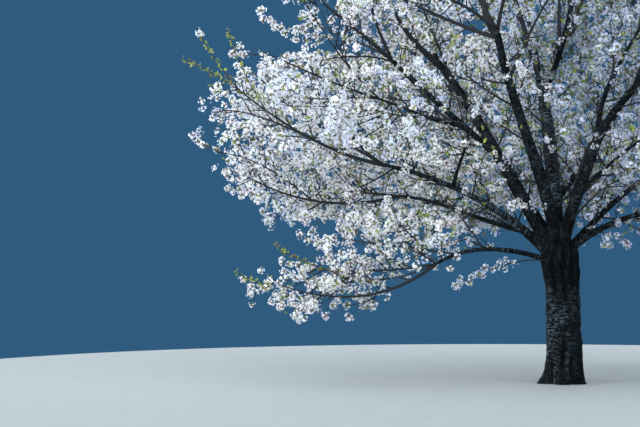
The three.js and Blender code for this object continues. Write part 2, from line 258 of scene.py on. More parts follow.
def growStem(mass, steps):
    place, ahead, radius = along(limbs[mass["bough"]], 1)
    towards = unit(mass["middle"] - place)
    tip = mass["middle"] + towards * mass["radius"] * stem["past"]
    points = centreLine(place, unit(towards + stem["sweep"] * ahead), tip,
                        unit(towards + stem["lift"] * zUp), steps)
    foot = radius * (stem["foot"] - stem["thinnerEach"] * mass["order"])
    return points, foot * (1 - stem["taper"] * np.linspace(0, 1, steps + 1))


stems = [growStem(mass, stem["steps"]) for mass in masses]


# every stretch of limb and stem, for the distance from a place to the wood
def stretchesOf(owned):
    rows = []
    for owner, (points, radii) in owned:
        for i in range(len(points) - 1):
            rows.append([*points[i], *(points[i + 1] - points[i]), radii[i], radii[i + 1] - radii[i], owner])
    return np.array(rows)


wood = stretchesOf([(-1, limb) for limb in limbs.values()] + list(enumerate(stems)))


# how far a place is from the limbs, and for a mass from the other masses' stems too
def fromWood(index, place):
    near = wood[wood[:, 8] != index] if index >= 0 else wood[wood[:, 8] < 0]
    run = near[:, 3:6]
    share = np.clip(((place - near[:, :3]) * run).sum(1) / (run**2).sum(1), 0, 1)
    gap = np.linalg.norm(near[:, :3] + run * share[:, None] - place, axis=1)
    return (gap - near[:, 6] - near[:, 7] * share).min()


# Twigs, by the rule that places the solids' sprays: the same headings, lengths and seeds

twigRule = {
    "perMass": 7, "tries": 40, "footRadius": 0.006, "reach": 1.25, "shortest": 0.42, "shorter": 0.95,
    "feet": (0.2, 0.7), "leadFoot": 0.95, "lean": (96, 56, 14),  # at a stem's foot, less up it, and at random
    "variety": 0.15, "sprayApart": 0.78, "sprayInside": 0.8, "wallMargin": 0.008, "limbMargin": 0.012,
    "rings": [(0.24, 0.008), (0.42, 0.15), (0.6, 0.07), (0.77, 0.17)],
    "sideHalf": (0.165, 0.28), "sideLean": 60, "sideTurns": (40, 130, 220, 310), "sideWidest": 0.65,
}


def hasRoom(index, place, radius, sprays):
    if not inSpace(index, place, twigRule["wallMargin"] + radius * twigRule["sprayInside"]):
        return False
    for middle, other in sprays:
        if np.linalg.norm(middle - place) <= (other + radius) * twigRule["sprayApart"]:
            return False
    return fromWood(index, place) >= radius + twigRule["limbMargin"]


def growTwigs(index):
    draw = chance(index + 1)
    size = lambda: 1 + twigRule["variety"] * (2 * draw() - 1)
    lowest, span = twigRule["feet"]
    leanAtFoot, leanLess, leanRandom = twigRule["lean"]
    sprays, twigs, sides = [], [], []
    for k in range(twigRule["tries"]):
        if len(twigs) == twigRule["perMass"]:
            break
        share = twigRule["leadFoot"] if k == 0 else lowest + span * ((k * goldenShare) % 1)
        place, ahead, _ = along(stems[index], share)
        lean = 0 if k == 0 else leanAtFoot - leanLess * share + leanRandom * (draw() - 0.5)
        heading = leaning(ahead, lean, k * goldenAngle)
        length = masses[index]["radius"] * twigRule["reach"]
        twigSize, turn, sideSize = size(), 360 * draw(), size()
        checked = [(0.12, twigRule["footRadius"]), *twigRule["rings"], (1, 0.001)]
        while length > twigRule["shortest"]:
            if all(hasRoom(index, place + heading * length * s, r * twigSize, sprays) for s, r in checked):
                break
            length *= twigRule["shorter"]
        if length <= twigRule["shortest"]:
            continue
        twigs.append((share, heading, length))
        swellings = [(place + heading * length * s, r * twigSize) for s, r in twigRule["rings"][1::2]]
        sprays += swellings
        width, half = (h * sideSize for h in twigRule["sideHalf"])
        root = swellings[k % 2][0]
        for sideTurn in twigRule["sideTurns"]:
            away = leaning(heading, twigRule["sideLean"], turn + sideTurn)
            widest = root + away * 2 * half * twigRule["sideWidest"]
            tip = root + away * 2 * half
            if hasRoom(index, widest, width, sprays) and hasRoom(index, tip, 0.001, sprays):
                sprays.append((widest, width))
                sides.append((len(twigs) - 1, twigRule["rings"][1 + 2 * (k % 2)][0], tip))
                break
    return twigs, sides


# Seen from the viewpoint, few flowers hang in front of a limb, the crown's top left is loose
# and its far left edge is thin. An area's numbers are its left, right, low and high edge, each over
# the distance.

viewpoint = {"place": (-2.89, -20, 1.5), "rise": 1.48, "lens": 94.5, "sensor": 36, "farthest": 200}
openness = {
    "beside": 0.07,  # how far from a limb flowers still count as before it
    "keptInFront": 0.35,  # the share of bunches kept where they hide a limb, and where they hide a chief one
    "keptInFrontOfChief": 0.09,
    "chief": ["trunk", "left_long", "left_leader", "front_leader", "centre_leader", "right_leader",
              "right_outer", "right_upper", "right_low", "left_second", "left_low", "frontLeaderSide",
              "frontLeaderEnd", "leftLeaderEnd", "leftLowEnd", "left_upper", "leftUpperEnd", "left_middle",
              "leftLongEnd"],
    "veils": [  # areas where more flowers hang before a limb, and the share kept
        (0.109, 0.146, 0.0700, 0.0925, 0.85), (0.088, 0.0985, 0.056, 0.0675, 0.6),
        (0.100, 0.111, 0.022, 0.041, 0.5), (0.160, 0.185, 0.085, 0.105, 0.5),
    ],
    "places": [  # open areas, and the share of growth kept
        (-0.050, 0.015, 0.0945, 0.14, 0.13), (0.015, 0.048, 0.0945, 0.116, 0.35),
        (-0.056, -0.036, 0.080, 0.13, 0.42), (0.083, 0.0995, 0.106, 0.122, 0.25),
        (-0.048, -0.006, -0.027, -0.005, 0.12), (-0.006, 0.048, -0.0155, -0.0065, 0.35),
        (-0.05, -0.014, -0.039, -0.0265, 0.15), (-0.05, 0.0, -0.08, -0.058, 0.04),
        (0.0, 0.035, -0.08, -0.055, 0.04), (0.035, 0.06, -0.08, -0.045, 0.04),
        (0.06, 0.075, -0.08, -0.034, 0.04), (0.075, 0.13, -0.08, -0.027, 0.04),
    ],
    "edge": [  # the crown's left edge, from low to high: up and across, over the distance
        (-0.0515, -0.049), (-0.0247, -0.050), (-0.0158, -0.044), (-0.0009, -0.0524), (0.011, -0.0583),
        (0.029, -0.063), (0.050, -0.0665), (0.068, -0.064), (0.0795, -0.0595), (0.090, -0.050),
        (0.097, -0.0417),
    ],
    "edgeWaves": [(0.004, 420, 0), (0.003, 1100, 1)],  # height, pace and start
    "edgeSoftness": 0.011, "leastKept": 0.03,
}


def seenFrom(places):
    away = places - np.array(viewpoint["place"])
    rise = math.radians(viewpoint["rise"])
    depth = away[:, 1] * math.cos(rise) + away[:, 2] * math.sin(rise)
    up = away[:, 2] * math.cos(rise) - away[:, 1] * math.sin(rise)
    return away[:, 0] / depth, up / depth, depth


def within(area, across, up):
    left, right, low, high = area
    return (across > left) & (across < right) & (up > low) & (up < high)


def shareKept(places):
    across, up, _ = seenFrom(places)
    share = np.ones(len(places))
    for *area, kept in openness["places"]:
        there = within(area, across, up)
        share[there] = np.minimum(share[there], kept)
    ups, sides = np.array(openness["edge"]).T
    edge = np.interp(up, ups, sides)
    for height, pace, start in openness["edgeWaves"]:
        edge = edge + height * np.sin(up * pace + start)
    return share * np.clip(0.5 + (across - edge) / openness["edgeSoftness"], openness["leastKept"], 1)


def opensAt(place, draw):
    return draw() > shareKept(place[None])[0]


# Finer growth

woodRule = {  # radii at both ends, how much it sags and sways over its length, and its steps
    "branch": ((0.014, 0.005), 0.06, 0.05, 8),
    "twig": ((0.0095, 0.0032), 0.05, 0.04, 5),
    "shoot": ((0.0048, 0.0022), 0.05, 0.06, 2),
}
lastFoot = 0.98  # how far up a twig or a lesser limb the last one leaves it
tints = 5

paths = {"limb": [], "branch": [], "twig": [], "shoot": []}
bunches = []  # where it sits, the way each umbel faces, tint, in flower or not, always kept or not


def outwards(place):
    return unit(place - np.array(crown["heart"]))


# a slightly bowed row of points
def bow(start, end, lift, steps):
    t = np.linspace(0, 1, steps + 1)[:, None]
    return start + (end - start) * t + 4 * t * (1 - t) * np.array(lift)


def bareLimb(points):
    return points, np.zeros(len(points))


# a twig, shoot or branch, which sags and sways a little
def addWood(kind, start, end, draw):
    radii, sag, sway, steps = woodRule[kind]
    length = np.linalg.norm(end - start)
    sideways = leaning(unit(end - start), 90, 360 * draw())
    points = bow(start, end, sideways * length * sway - zUp * length * sag, steps)
    paths[kind].append((points, np.linspace(*radii, steps + 1)))
    return points, length


bunchRule = {
    "every": 0.15, "lean": 70,  # along a twig
    "foot": (0.003, 0.012 - 0.003),  # how far it stands off its wood
    "rise": (0.1, -0.3),
    "pairedUmbels": 0.62,  # the share of bunches with two umbels, back to back
    "fullUmbels": 3, "pairLean": 66, "loneLean": 10,
    # the share with leaves alone, within the crown and at its outside
    "leafy": (0.46, 0.13), "leafyRange": (0.35, 0.8),
}


def addBunch(place, facing, draw, tint, leafy=None, full=False, kept=False):
    facing = unit(facing + np.array([0, 0, pick(bunchRule["rise"], draw)]))
    end = place + facing * pick(bunchRule["foot"], draw)
    if leafy is None:
        reach = min(1, np.linalg.norm((place - np.array(crown["heart"])) / crown["across"]))
        leafy = draw() < np.interp(reach, bunchRule["leafyRange"], bunchRule["leafy"])
    count, turn = 1, 360 * draw()
    if not leafy:
        count = bunchRule["fullUmbels"] if full else 1 + (draw() < bunchRule["pairedUmbels"])
    lean = bunchRule["pairLean"] if count > 1 else bunchRule["loneLean"]
    facings = [leaning(facing, lean, turn + k * 360 / count) for k in range(count)]
    bunches.append((end, facings, tint, not leafy, kept))


shootRule = {
    "every": 0.13, "feet": (0.3, 0.5), "lean": (40, 22), "lift": 0.15,
    "sweep": 0.225,  # how far it turns outwards from the crown's heart
    "length": (0.32, 0.16), "variety": (0.75, 0.5),  # the length at the twig's foot and at its tip
    "tries": 4, "shorter": 0.72,
    "bearing": 0.85,  # the share of a shoot that bears bunches
    "bunchEvery": 0.125, "tipLean": 12, "bunchLean": (62, 20),
}


# a shoot with a bunch at its tip and others along it
def addShoot(start, end, draw):
    points, length = addWood("shoot", start, end, draw)
    tint = int(draw() * tints)
    bearing = shootRule["bearing"]
    count = max(1, round(length * bearing / shootRule["bunchEvery"]))
    turn = 360 * draw()
    for i in range(count):
        place, ahead, _ = along(bareLimb(points), 1 - bearing * i / count)
        lean = shootRule["tipLean"] if i == 0 else pick(shootRule["bunchLean"], draw)
        addBunch(place, leaning(ahead, lean, turn + i * goldenAngle), draw, tint)


# shoots and bunches up a twig, kept where the test allows, and fewer where the crown is sparse
def clothe(points, draw, allowed, bare, sparse=True):
    length = lengthOf(points)
    limb = bareLimb(points)
    count = max(2, round(length * (1 - bare) / shootRule["every"]))
    turn = 360 * draw()
    first, span = shootRule["feet"]
    long, short = shootRule["length"]
    for i in range(count):
        share = bare + (1 - bare) * (i + first + span * draw()) / count
        place, ahead, _ = along(limb, min(share, lastFoot))
        away = leaning(ahead, pick(shootRule["lean"], draw), turn + i * goldenAngle)
        away = unit(away + shootRule["lift"] * zUp + shootRule["sweep"] * outwards(place))
        reach = (long + (short - long) * share) * pick(shootRule["variety"], draw)
        if sparse and opensAt(place + away * reach, draw):
            continue
        for _ in range(shootRule["tries"]):
            if allowed(place + away * reach):
                addShoot(place, place + away * reach, draw)
                break
            reach *= shootRule["shorter"]
    count = max(1, round(length * (1 - bare) / bunchRule["every"]))
    tint = int(draw() * tints)
    for i in range(count):
        place, ahead, _ = along(limb, bare + (1 - bare) * (i + draw()) / count)
        if not (sparse and opensAt(place, draw)):
            addBunch(place, leaning(ahead, bunchRule["lean"], 360 * draw()), draw, tint)
    place, ahead, _ = along(limb, 1)
    addBunch(place, ahead, draw, tint, False, True)


def addTwig(start, end, draw, allowed, bare):
    if opensAt(end, draw):
        return None
    points, _ = addWood("twig", start, end, draw)
    clothe(points, draw, allowed, bare, False)
    return points


massRule = {
    "stemShare": 0.78,  # how thick a stem is beside the solid one
    "margin": 0.03,  # from the space's walls and from wood
    "twigBare": 0.22, "sideBare": 0.1, "stemBare": 0.05, "stemFrom": 4,  # the share, or the steps, left bare
    # slim twigs between the first ones
    "slimTries": 16, "slimFeet": (0.12, 0.86), "slimStart": 0.31, "slimLean": (96, 60, 16), "slimLift": 0.12,
    "slimSweep": 0.45,  # how far they turn outwards from the crown's heart
    "slimReach": 1.1, "slimShortest": 0.26, "slimShorter": 0.88, "slimChecked": (0.6, 1),
}


def growMass(index):
    draw = chance(seeds["mass"] + index)
    fine = growStem(masses[index], stem["fineSteps"])
    paths["limb"].append((fine[0], fine[1] * massRule["stemShare"]))
    margin = massRule["margin"]
    allowed = lambda tip: inSpace(index, tip, margin) and fromWood(index, tip) > margin
    twigs, sides = growTwigs(index)
    made = []
    for share, heading, length in twigs:
        tip = along(stems[index], share)[0] + heading * length
        made.append(addTwig(along(fine, share)[0], tip, draw, allowed, massRule["twigBare"]))
    for number, share, tip in sides:
        if made[number] is not None:
            addTwig(along(bareLimb(made[number]), share)[0], tip, draw, allowed, massRule["sideBare"])
    lowest, span = massRule["slimFeet"]
    leanAtFoot, leanLess, leanRandom = massRule["slimLean"]
    for k in range(massRule["slimTries"]):
        share = lowest + span * ((k * goldenShare + massRule["slimStart"]) % 1)
        place, ahead, _ = along(fine, share)
        lean = leanAtFoot - leanLess * share + leanRandom * (draw() - 0.5)
        heading = leaning(ahead, lean, (k + 0.5) * goldenAngle)
        heading = unit(heading + massRule["slimSweep"] * outwards(place) + massRule["slimLift"] * zUp)
        length = masses[index]["radius"] * massRule["slimReach"]
        while length > massRule["slimShortest"]:
            ends = [place + heading * length * s for s in massRule["slimChecked"]]
            if all(allowed(end) for end in ends):
                addTwig(place, ends[-1], draw, allowed, massRule["twigBare"])
                break
            length *= massRule["slimShorter"]
    clothe(fine[0][massRule["stemFrom"]:], draw, allowed, massRule["stemBare"])


for index in range(len(masses)):
    growMass(index)
print("masses grown:", len(masses), "twigs", len(paths["twig"]), "bunches", len(bunches))


# Branches within the crown, straight from the boughs

branchRule = {
    "every": 0.25, "bare": 0.22, "lean": (50, 16), "turnEach": 60, "lift": 0.15,
    "length": (1.15, 0.6), "variety": (0.65, 0.5),  # the length at the bough's foot and at its tip
    "frontFrom": -0.3, "frontShare": 0.55,  # shorter where it heads for the open front
    "lowest": 1.7, "margin": 0.04, "alsoChecked": 0.6,  # its tip is kept off wood, and a place below it
    "start": 0.5,  # the share of the bough's radius where it starts
    "twigEvery": 0.2, "twigsFrom": 0.25, "twigLean": (38, 20), "twigLift": 0.2,
    "twigLength": (0.42, 0.24), "twigVariety": (0.7, 0.6), "twigBare": 0.15,
    "shootsFrom": 5, "shootsBare": 0.1,
    "bunchLean": 80, "leafy": 0.5,  # a bunch sits on the bough beside each branch
}


def addBranch(start, end, draw, allowed):
    points, length = addWood("branch", start, end, draw)
    bare = branchRule["twigsFrom"]
    count = max(2, round(length * (1 - bare) / branchRule["twigEvery"]))
    turn = 360 * draw()
    long, short = branchRule["twigLength"]
    for i in range(count):
        share = bare + (1 - bare) * (i + draw()) / count
        place, ahead, _ = along(bareLimb(points), share)
        away = leaning(ahead, pick(branchRule["twigLean"], draw), turn + i * goldenAngle)
        away = unit(away + branchRule["twigLift"] * zUp)
        tip = place + away * (long + (short - long) * share) * pick(branchRule["twigVariety"], draw)
        if allowed(tip):
            addTwig(place, tip, draw, allowed, branchRule["twigBare"])
    clothe(points[branchRule["shootsFrom"]:], draw, allowed, branchRule["shootsBare"])


def growOnBough(name, number):
    draw = chance(seeds["bough"] + number)
    bare = branchRule["bare"]
    count = round(lengthOf(limbs[name][0]) * (1 - bare) / branchRule["every"])
    clear = lambda end: fromWood(-1, end) > branchRule["margin"]
    long, short = branchRule["length"]
    for i in range(count):
        share = bare + (1 - bare) * (i + 0.5) / count
        place, ahead, radius = along(limbs[name], share)
        turn = i * goldenAngle + branchRule["turnEach"] * number
        away = unit(leaning(ahead, pick(branchRule["lean"], draw), turn) + branchRule["lift"] * zUp)
        reach = (long + (short - long) * share) * pick(branchRule["variety"], draw)
        if away[1] < branchRule["frontFrom"]:
            reach *= branchRule["frontShare"]
        tip = place + away * reach
        onTheWay = place + away * (reach * branchRule["alsoChecked"])
        if clear(tip) and clear(onTheWay) and tip[2] > branchRule["lowest"]:
            addBranch(place + away * radius * branchRule["start"], tip, draw, clear)
        facing = leaning(ahead, branchRule["bunchLean"], 360 * draw())
        addBunch(place + facing * radius, facing, draw, int(draw() * tints), draw() < branchRule["leafy"])


for number, name in enumerate(boughs):
    growOnBough(name, number)

# Lesser limbs that the eye follows through the blossom, out to the crown's furthest tips

lesserLimbs = {
    # The limb it leaves, and where; a place on its way; its tip; its thickness at both ends; and for
    # those without twigs: a leafy shoot, one that ends in leaves, or the share that hangs with bunches.
    "leftLongEnd": ("left_long", 1, (-2.98, -0.6, 2.86), (-3.87, -0.75, 3.46), (0.05, 0.016)),
    "leftTipShoot": ("leftLongEnd", 0.97, (-4.08, -0.75, 3.75), (-4.27, -0.75, 4.06), (0.016, 0.006),
                     "leafy"),
    "leftLowShoot": ("leftLongEnd", 0.9, (-4.1, -0.7, 3.6), (-4.46, -0.7, 3.77), (0.014, 0.006), "green"),
    "leftThirdShoot": ("leftLongEnd", 0.8, (-3.8, -0.6, 3.7), (-3.95, -0.6, 4.12), (0.014, 0.006), "green"),
    "leftSecondEnd": ("left_second", 1, (-2.89, -0.2, 2.15), (-3.76, -0.55, 2.45), (0.042, 0.014)),
    "leftLowEnd": ("left_low", 1, (-2.43, -0.68, 1.05), (-3.46, -0.75, 1.22), (0.04, 0.012)),
    "leftLowUnder": ("left_low", 0.97, (-1.95, -0.68, 1.28), (-2.36, -0.78, 1.25), (0.022, 0.01)),
    "leftLowOver": ("left_low", 0.82, (-1.96, -0.5, 1.62), (-2.72, -0.45, 1.72), (0.024, 0.01)),
    "leftUpperEnd": ("left_upper", 1, (-2.53, 0.25, 4.31), (-3.1, 0, 4.72), (0.058, 0.02)),
    "leftUpperSide": ("left_upper", 0.97, (-2.4, 0.3, 3.93), (-2.95, 0.1, 3.84), (0.026, 0.01)),
    "leftMiddleEnd": ("left_middle", 1, (-2.83, -0.1, 3.61), (-3.6, -0.4, 3.93), (0.034, 0.012)),
    "leftMiddleUnder": ("left_middle", 0.2, (-1.7, 0.1, 3.18), (-2.2, -0.1, 3.02), (0.026, 0.01)),
    "frontLeaderSide": ("front_leader", 0.98, (-1.42, -0.95, 4.19), (-2.15, -0.9, 4.55), (0.058, 0.022)),
    "frontInner": ("front_leader", 0.68, (-0.95, -0.85, 3.38), (-1.28, -0.85, 3.63), (0.032, 0.012)),
    "frontInnerRight": ("front_leader", 0.66, (-0.48, -0.82, 3.22), (-0.41, -0.82, 3.38), (0.018, 0.008)),
    "leftLeaderEnd": ("left_leader", 0.97, (-1.75, 0.75, 4.2), (-1.98, 0.65, 4.55), (0.088, 0.04)),
    "leftLeaderInner": ("left_leader", 0.86, (-1.42, 0.6, 4.05), (-1.66, 0.5, 4.62), (0.05, 0.022)),
    "centreLeft": ("centre_leader", 0.98, (-0.36, 0.6, 4.25), (-0.58, 0.6, 4.95), (0.086, 0.04)),
    "rightTwin": ("right_leader", 0.3, (0.14, -0.25, 2.4), (0.28, -0.35, 2.86), (0.08, 0.04)),
    "rightThin": ("right_leader", 0.28, (0.3, -0.8, 2.24), (0.55, -0.9, 2.38), (0.03, 0.012)),
    "rightInner": ("right_leader", 0.97, (0.34, -0.8, 3.25), (0.4, -0.85, 3.5), (0.03, 0.014)),
    "lowTwig": ("left_low", 0.1, (-0.69, -0.38, 1.42), (-1.3, -0.45, 1.17), (0.018, 0.007), 0.42),
    "frontLeaderEnd": ("front_leader", 1, (-1.0, -0.92, 4.28), (-1.1, -0.95, 4.9), (0.098, 0.056)),
    "frontCross": ("front_leader", 0.8, (-0.45, -0.75, 4.13), (-0.19, -0.75, 4.58), (0.045, 0.018)),
    "centreUpperLeft": ("centre_upper", 0.35, (0.01, 0.3, 4.37), (0.02, 0.3, 4.95), (0.06, 0.03)),
    "centreUpperRight": ("centre_upper", 0.5, (0.19, 0.3, 4.35), (0.36, 0.3, 4.82), (0.05, 0.024)),
    "leftFarUpper": ("leftLongEnd", 0.45, (-3.75, -0.68, 3.16), (-4.13, -0.7, 3.1), (0.022, 0.008)),
    "leftFarMiddle": ("leftSecondEnd", 0.55, (-3.6, -0.5, 2.58), (-4.13, -0.7, 2.7), (0.022, 0.008)),
    "leftFarLow": ("leftSecondEnd", 0.95, (-3.75, -0.6, 2.36), (-4.0, -0.65, 2.25), (0.014, 0.007)),
    "forkSpray": ("front_leader", 0.16, (-0.34, -0.42, 2.1), (-0.66, -0.5, 2.09), (0.012, 0.005), 0.4),
    "rightLowTwig": ("right_low", 0.2, (0.34, -0.5, 1.74), (0.45, -0.55, 1.64), (0.014, 0.006), 0.6),
    "rightLowTwigOuter": ("right_low", 0.32, (0.55, -0.5, 1.75), (0.67, -0.55, 1.64), (0.014, 0.006),
                          0.78),
    "leftLowTipShoot": ("leftLowEnd", 0.98, (-3.62, -0.75, 1.22), (-3.85, -0.75, 1.33), (0.012, 0.006),
                        "green"),
    "leftLowOverShoot": ("leftLowEnd", 0.3, (-2.95, -0.75, 1.4), (-3.4, -0.75, 1.64), (0.012, 0.006),
                         "green"),
    "leftTopSpray": ("leftUpperEnd", 0.45, (-3.1, 0.1, 4.13), (-3.6, -0.1, 4.42), (0.014, 0.006), 0.2),
}
lesserRule = {
    "steps": 12, "bare": 0.12, "margin": 0.03, "twigEvery": 0.13, "twigLean": (36, 22), "twigLift": 0.12,
    "twigLength": (0.6, 0.3), "twigVariety": (0.6, 0.6), "twigBare": 0.12,
    "shortLimb": 0.4,  # the twigs' share of their length on the shortest limb, more with each metre
    "frontFrom": -0.6,  # none heads straighter for the open front
    "leavesEvery": 0.05, "leavesFrom": 0.1, "bunchesEvery": 0.06, "bunchesWander": 0.05, "bunchLean": 66,
}


# a bare shoot in young leaf, or a twig that hangs with bunches
def dressShoot(limb, draw, kind):
    leafy = isinstance(kind, str)
    every = lesserRule["leavesEvery"] if leafy else lesserRule["bunchesEvery"]
    first = lesserRule["leavesFrom"] if leafy else kind
    count = round(lengthOf(limb[0]) * (1 - first) / every)
    for i in range(count):
        place, ahead, _ = along(limb, first + (1 - first) * (i + 0.5) / count)
        away = leaning(ahead, lesserRule["bunchLean"], i * goldenAngle)
        if not leafy:
            place = place + away * lesserRule["bunchesWander"] * draw()
        addBunch(place, away, draw, int(draw() * tints), leafy, False, True)
    addBunch(limb[0][-1], ahead, draw, 0, kind == "green", True, True)


def growLesser(name, number):
    parent, at, via, tip, thick, *kind = lesserLimbs[name]
    start = along(limbs[parent], at)[0]
    via, tip = np.array(via), np.array(tip)
    steps = lesserRule["steps"]
    t = np.linspace(0, 1, steps + 1)[:, None]
    pull = 2 * via - (start + tip) / 2
    points = (1 - t)**2 * start + 2 * t * (1 - t) * pull + t**2 * tip
    limb = limbs[name] = (points, np.linspace(thick[0] / 2, thick[1] / 2, steps + 1))
    paths["limb"].append(limb)
    draw = chance(seeds["lesserLimb"] + number)
    if kind:
        dressShoot(limb, draw, kind[0])
        return
    length = lengthOf(points)
    clear = lambda end: fromWood(-1, end) > lesserRule["margin"]
    count = round(length / lesserRule["twigEvery"])
    bare = lesserRule["bare"]
    full = min(1, lesserRule["shortLimb"] + length)
    long, short = lesserRule["twigLength"]
    for i in range(count):
        share = bare + (1 - bare) * (i + draw()) / count
        place, ahead, _ = along(limb, min(share, lastFoot))
        away = leaning(ahead, pick(lesserRule["twigLean"], draw), i * goldenAngle)
        away = unit(away + lesserRule["twigLift"] * zUp)
        end = place + away * (long + (short - long) * share) * pick(lesserRule["twigVariety"], draw) * full
        if away[1] > lesserRule["frontFrom"] and clear(end):
            addTwig(place, end, draw, clear, lesserRule["twigBare"])
    addBunch(tip, ahead, draw, 0, False, True)


for number, name in enumerate(lesserLimbs):
    growLesser(name, number)
print("limbs clothed: branches", len(paths["branch"]), "twigs", len(paths["twig"]),
      "shoots", len(paths["shoot"]), "bunches", len(bunches))


# Slim twigs with few flowers that cross in front of and between the boughs

whips = {
    "every": 0.11, "from": (0.16, 0.82), "lean": (28, 34), "lift": 0.25, "length": (0.85, 0.45),
    "shortBough": (0.45, 3), "margin": 0.03, "radii": (0.0052, 0.0020), "sway": 0.09, "steps": 5,
    "bunchEvery": 0.3, "bearing": 0.6, "bunchLean": (20, 50),
    "on": ["left_leader", "front_leader", "centre_leader", "right_leader", "right_outer", "right_upper",
           "right_back", "left_long", "left_second", "left_middle", "left_upper", "centre_upper", "back",
           "right_second", "right_low", "front_right", "front_left"],
}


def growWhips(name, number):
    draw = chance(seeds["whip"] + number)
    length = lengthOf(limbs[name][0])
    count = round(length / whips["every"])
    first, span = whips["from"]
    long, short = whips["length"]
    least, most = whips["shortBough"]
    for i in range(count):
        place, ahead, _ = along(limbs[name], first + span * (i + draw()) / count)
        away = unit(leaning(ahead, pick(whips["lean"], draw), 360 * draw()) + whips["lift"] * zUp)
        reach = (long + (short - long) * draw()) * min(1, least + length / most)
        tip = place + away * reach
        if fromWood(-1, tip) < whips["margin"] or shareKept(tip[None])[0] < 1:
            continue
        sideways = leaning(away, 90, 360 * draw())
        points = bow(place, tip, sideways * reach * whips["sway"], whips["steps"])
        paths["twig"].append((points, np.linspace(*whips["radii"], whips["steps"] + 1)))
        for k in range(max(1, round(reach / whips["bunchEvery"]))):
            at, way, _ = along(bareLimb(points), 1 - whips["bearing"] * draw() * k)
            facing = leaning(way, pick(whips["bunchLean"], draw), 360 * draw())
            addBunch(at, facing, draw, int(draw() * tints))


for number, name in enumerate(whips["on"]):
    growWhips(name, number)
print("with whips: twigs", len(paths["twig"]), "bunches", len(bunches))


# every limb as seen: across and up over the distance, the distance, its radius, and what is kept before it
def seeLimbs(steps=40):
    rows = []
    for name, (points, radii) in limbs.items():
        t = np.linspace(0, len(points) - 1, steps)
        places = np.column_stack([np.interp(t, np.arange(len(points)), points[:, c]) for c in range(3)])
        kept = openness["keptInFrontOfChief" if name in openness["chief"] else "keptInFront"]
        radius = np.interp(t, np.arange(len(radii)), radii)
        rows.append(np.stack([*seenFrom(places), radius, np.full(steps, kept)]))
    return np.concatenate(rows, axis=1)


seenLimbs = seeLimbs()


# the share of bunches kept, less where they would hide a limb
def shareBefore(places):
    shares = []
    a, u, d, r, kept = seenLimbs
    for low in range(0, len(places), 1000):
        across, up, depth = (part[:, None] for part in seenFrom(places[low:low + 1000]))
        near = (across - a) ** 2 + (up - u) ** 2 < ((r + openness["beside"]) / d) ** 2
        share = np.where(near & (depth < d - r), kept, 1.0).min(1)
        for *area, least in openness["veils"]:
            share = np.where(within(area, across, up)[:, 0], np.maximum(share, least), share)
        shares.append(share)
    return np.concatenate(shares) if shares else np.ones(0)


def thinned(rows, draw):
    shares = shareBefore(np.array([row[0] for row in rows]))
    return [row for row, share in zip(rows, shares) if draw() <= share or row[4]]


bunches = thinned(bunches, chance(seeds["thinning"]))
print("bunches kept:", len(bunches))

# Where the viewpoint would still see through the crown's middle, more shoots grow behind the limbs

gaps = {
    "zones": [  # left, right, low and high edge, each over the distance
        (-0.062, -0.02, 0.014, 0.0945), (-0.02, 0.048, -0.001, 0.13), (0.048, 0.107, -0.007, 0.13),
        (0.107, 0.134, 0.005, 0.13), (0.134, 0.1915, 0.014, 0.13),
    ],
    "every": 0.0026, "near": 0.0030, "enough": 5.5, "enoughVariety": (0.5, 1), "tries": 2,
    "fade": (-0.064, -0.036),  # from here to there the filling sets in
    "behind": (0.1, 2.4), "reach": (0.07, 0.5), "reachVariety": (0.8, 0.4), "depthWander": (0.3, 0.3),
    "feetTried": 8, "margin": 0.05,
    "leavesCount": 0.3,  # an umbel of leaves fills less than one in flower
}


def placeSeenAt(across, up, depth):
    rise = math.radians(viewpoint["rise"])
    ahead = depth * (math.cos(rise) - up * math.sin(rise))
    above = depth * (math.sin(rise) + up * math.cos(rise))
    return np.array(viewpoint["place"]) + [across * depth, ahead, above]


def seenUmbels(rows):
    across, up, _ = seenFrom(np.array([row[0] for row in rows]))
    return np.stack([across, up, [len(row[1]) if row[3] else gaps["leavesCount"] for row in rows]])


def fillGaps():
    feet = np.concatenate([row[0][1:] for kind in ("limb", "branch", "twig") for row in paths[kind]])
    feet = feet[(feet[:, 1] > gaps["behind"][0]) & (feet[:, 1] < gaps["behind"][1])]
    footAcross, footUp, footDepth = seenFrom(feet)
    draw = chance(seeds["gap"])
    wander, nearer = gaps["depthWander"]
    shoots = 0
    shown = seenUmbels(bunches)
    grid = [(across, up) for left, right, low, high in gaps["zones"]
            for up in np.arange(low, high, gaps["every"]) for across in np.arange(left, right, gaps["every"])]
    for spot in grid:
        a, u = (value + gaps["every"] * (draw() - 0.5) for value in spot)
        enough = gaps["enough"] * np.interp(a, gaps["fade"], (0, 1)) * pick(gaps["enoughVariety"], draw)
        if shareKept(placeSeenAt(a, u, 20)[None])[0] < 1:
            continue
        for _ in range(gaps["tries"]):
            off = ((shown[0] - a) ** 2 + (shown[1] - u) ** 2) / gaps["near"] ** 2
            if (shown[2] * np.exp(-off)).sum() > enough:
                break
            away = np.hypot(footAcross - a, footUp - u) * footDepth
            away = away * pick(gaps["reachVariety"], draw)
            away[away < gaps["reach"][0]] = np.inf
            luck = draw()
            for best in np.argsort(away)[:gaps["feetTried"]]:
                tip = placeSeenAt(a, u, footDepth[best] + wander * (draw() - nearer))
                if away[best] > gaps["reach"][1] or fromWood(-1, tip) < gaps["margin"]:
                    continue
                if luck > shareBefore(tip[None])[0]:
                    continue
                first = len(bunches)
                addShoot(feet[best], tip, draw)
                bunches[first + 1:] = thinned(bunches[first + 1:], draw)
                shown = np.concatenate([shown, seenUmbels(bunches[first:])], axis=1)
                shoots += 1
                break
    return shoots


print("gaps filled:", fillGaps(), "shoots, bunches", len(bunches))


# Making meshes

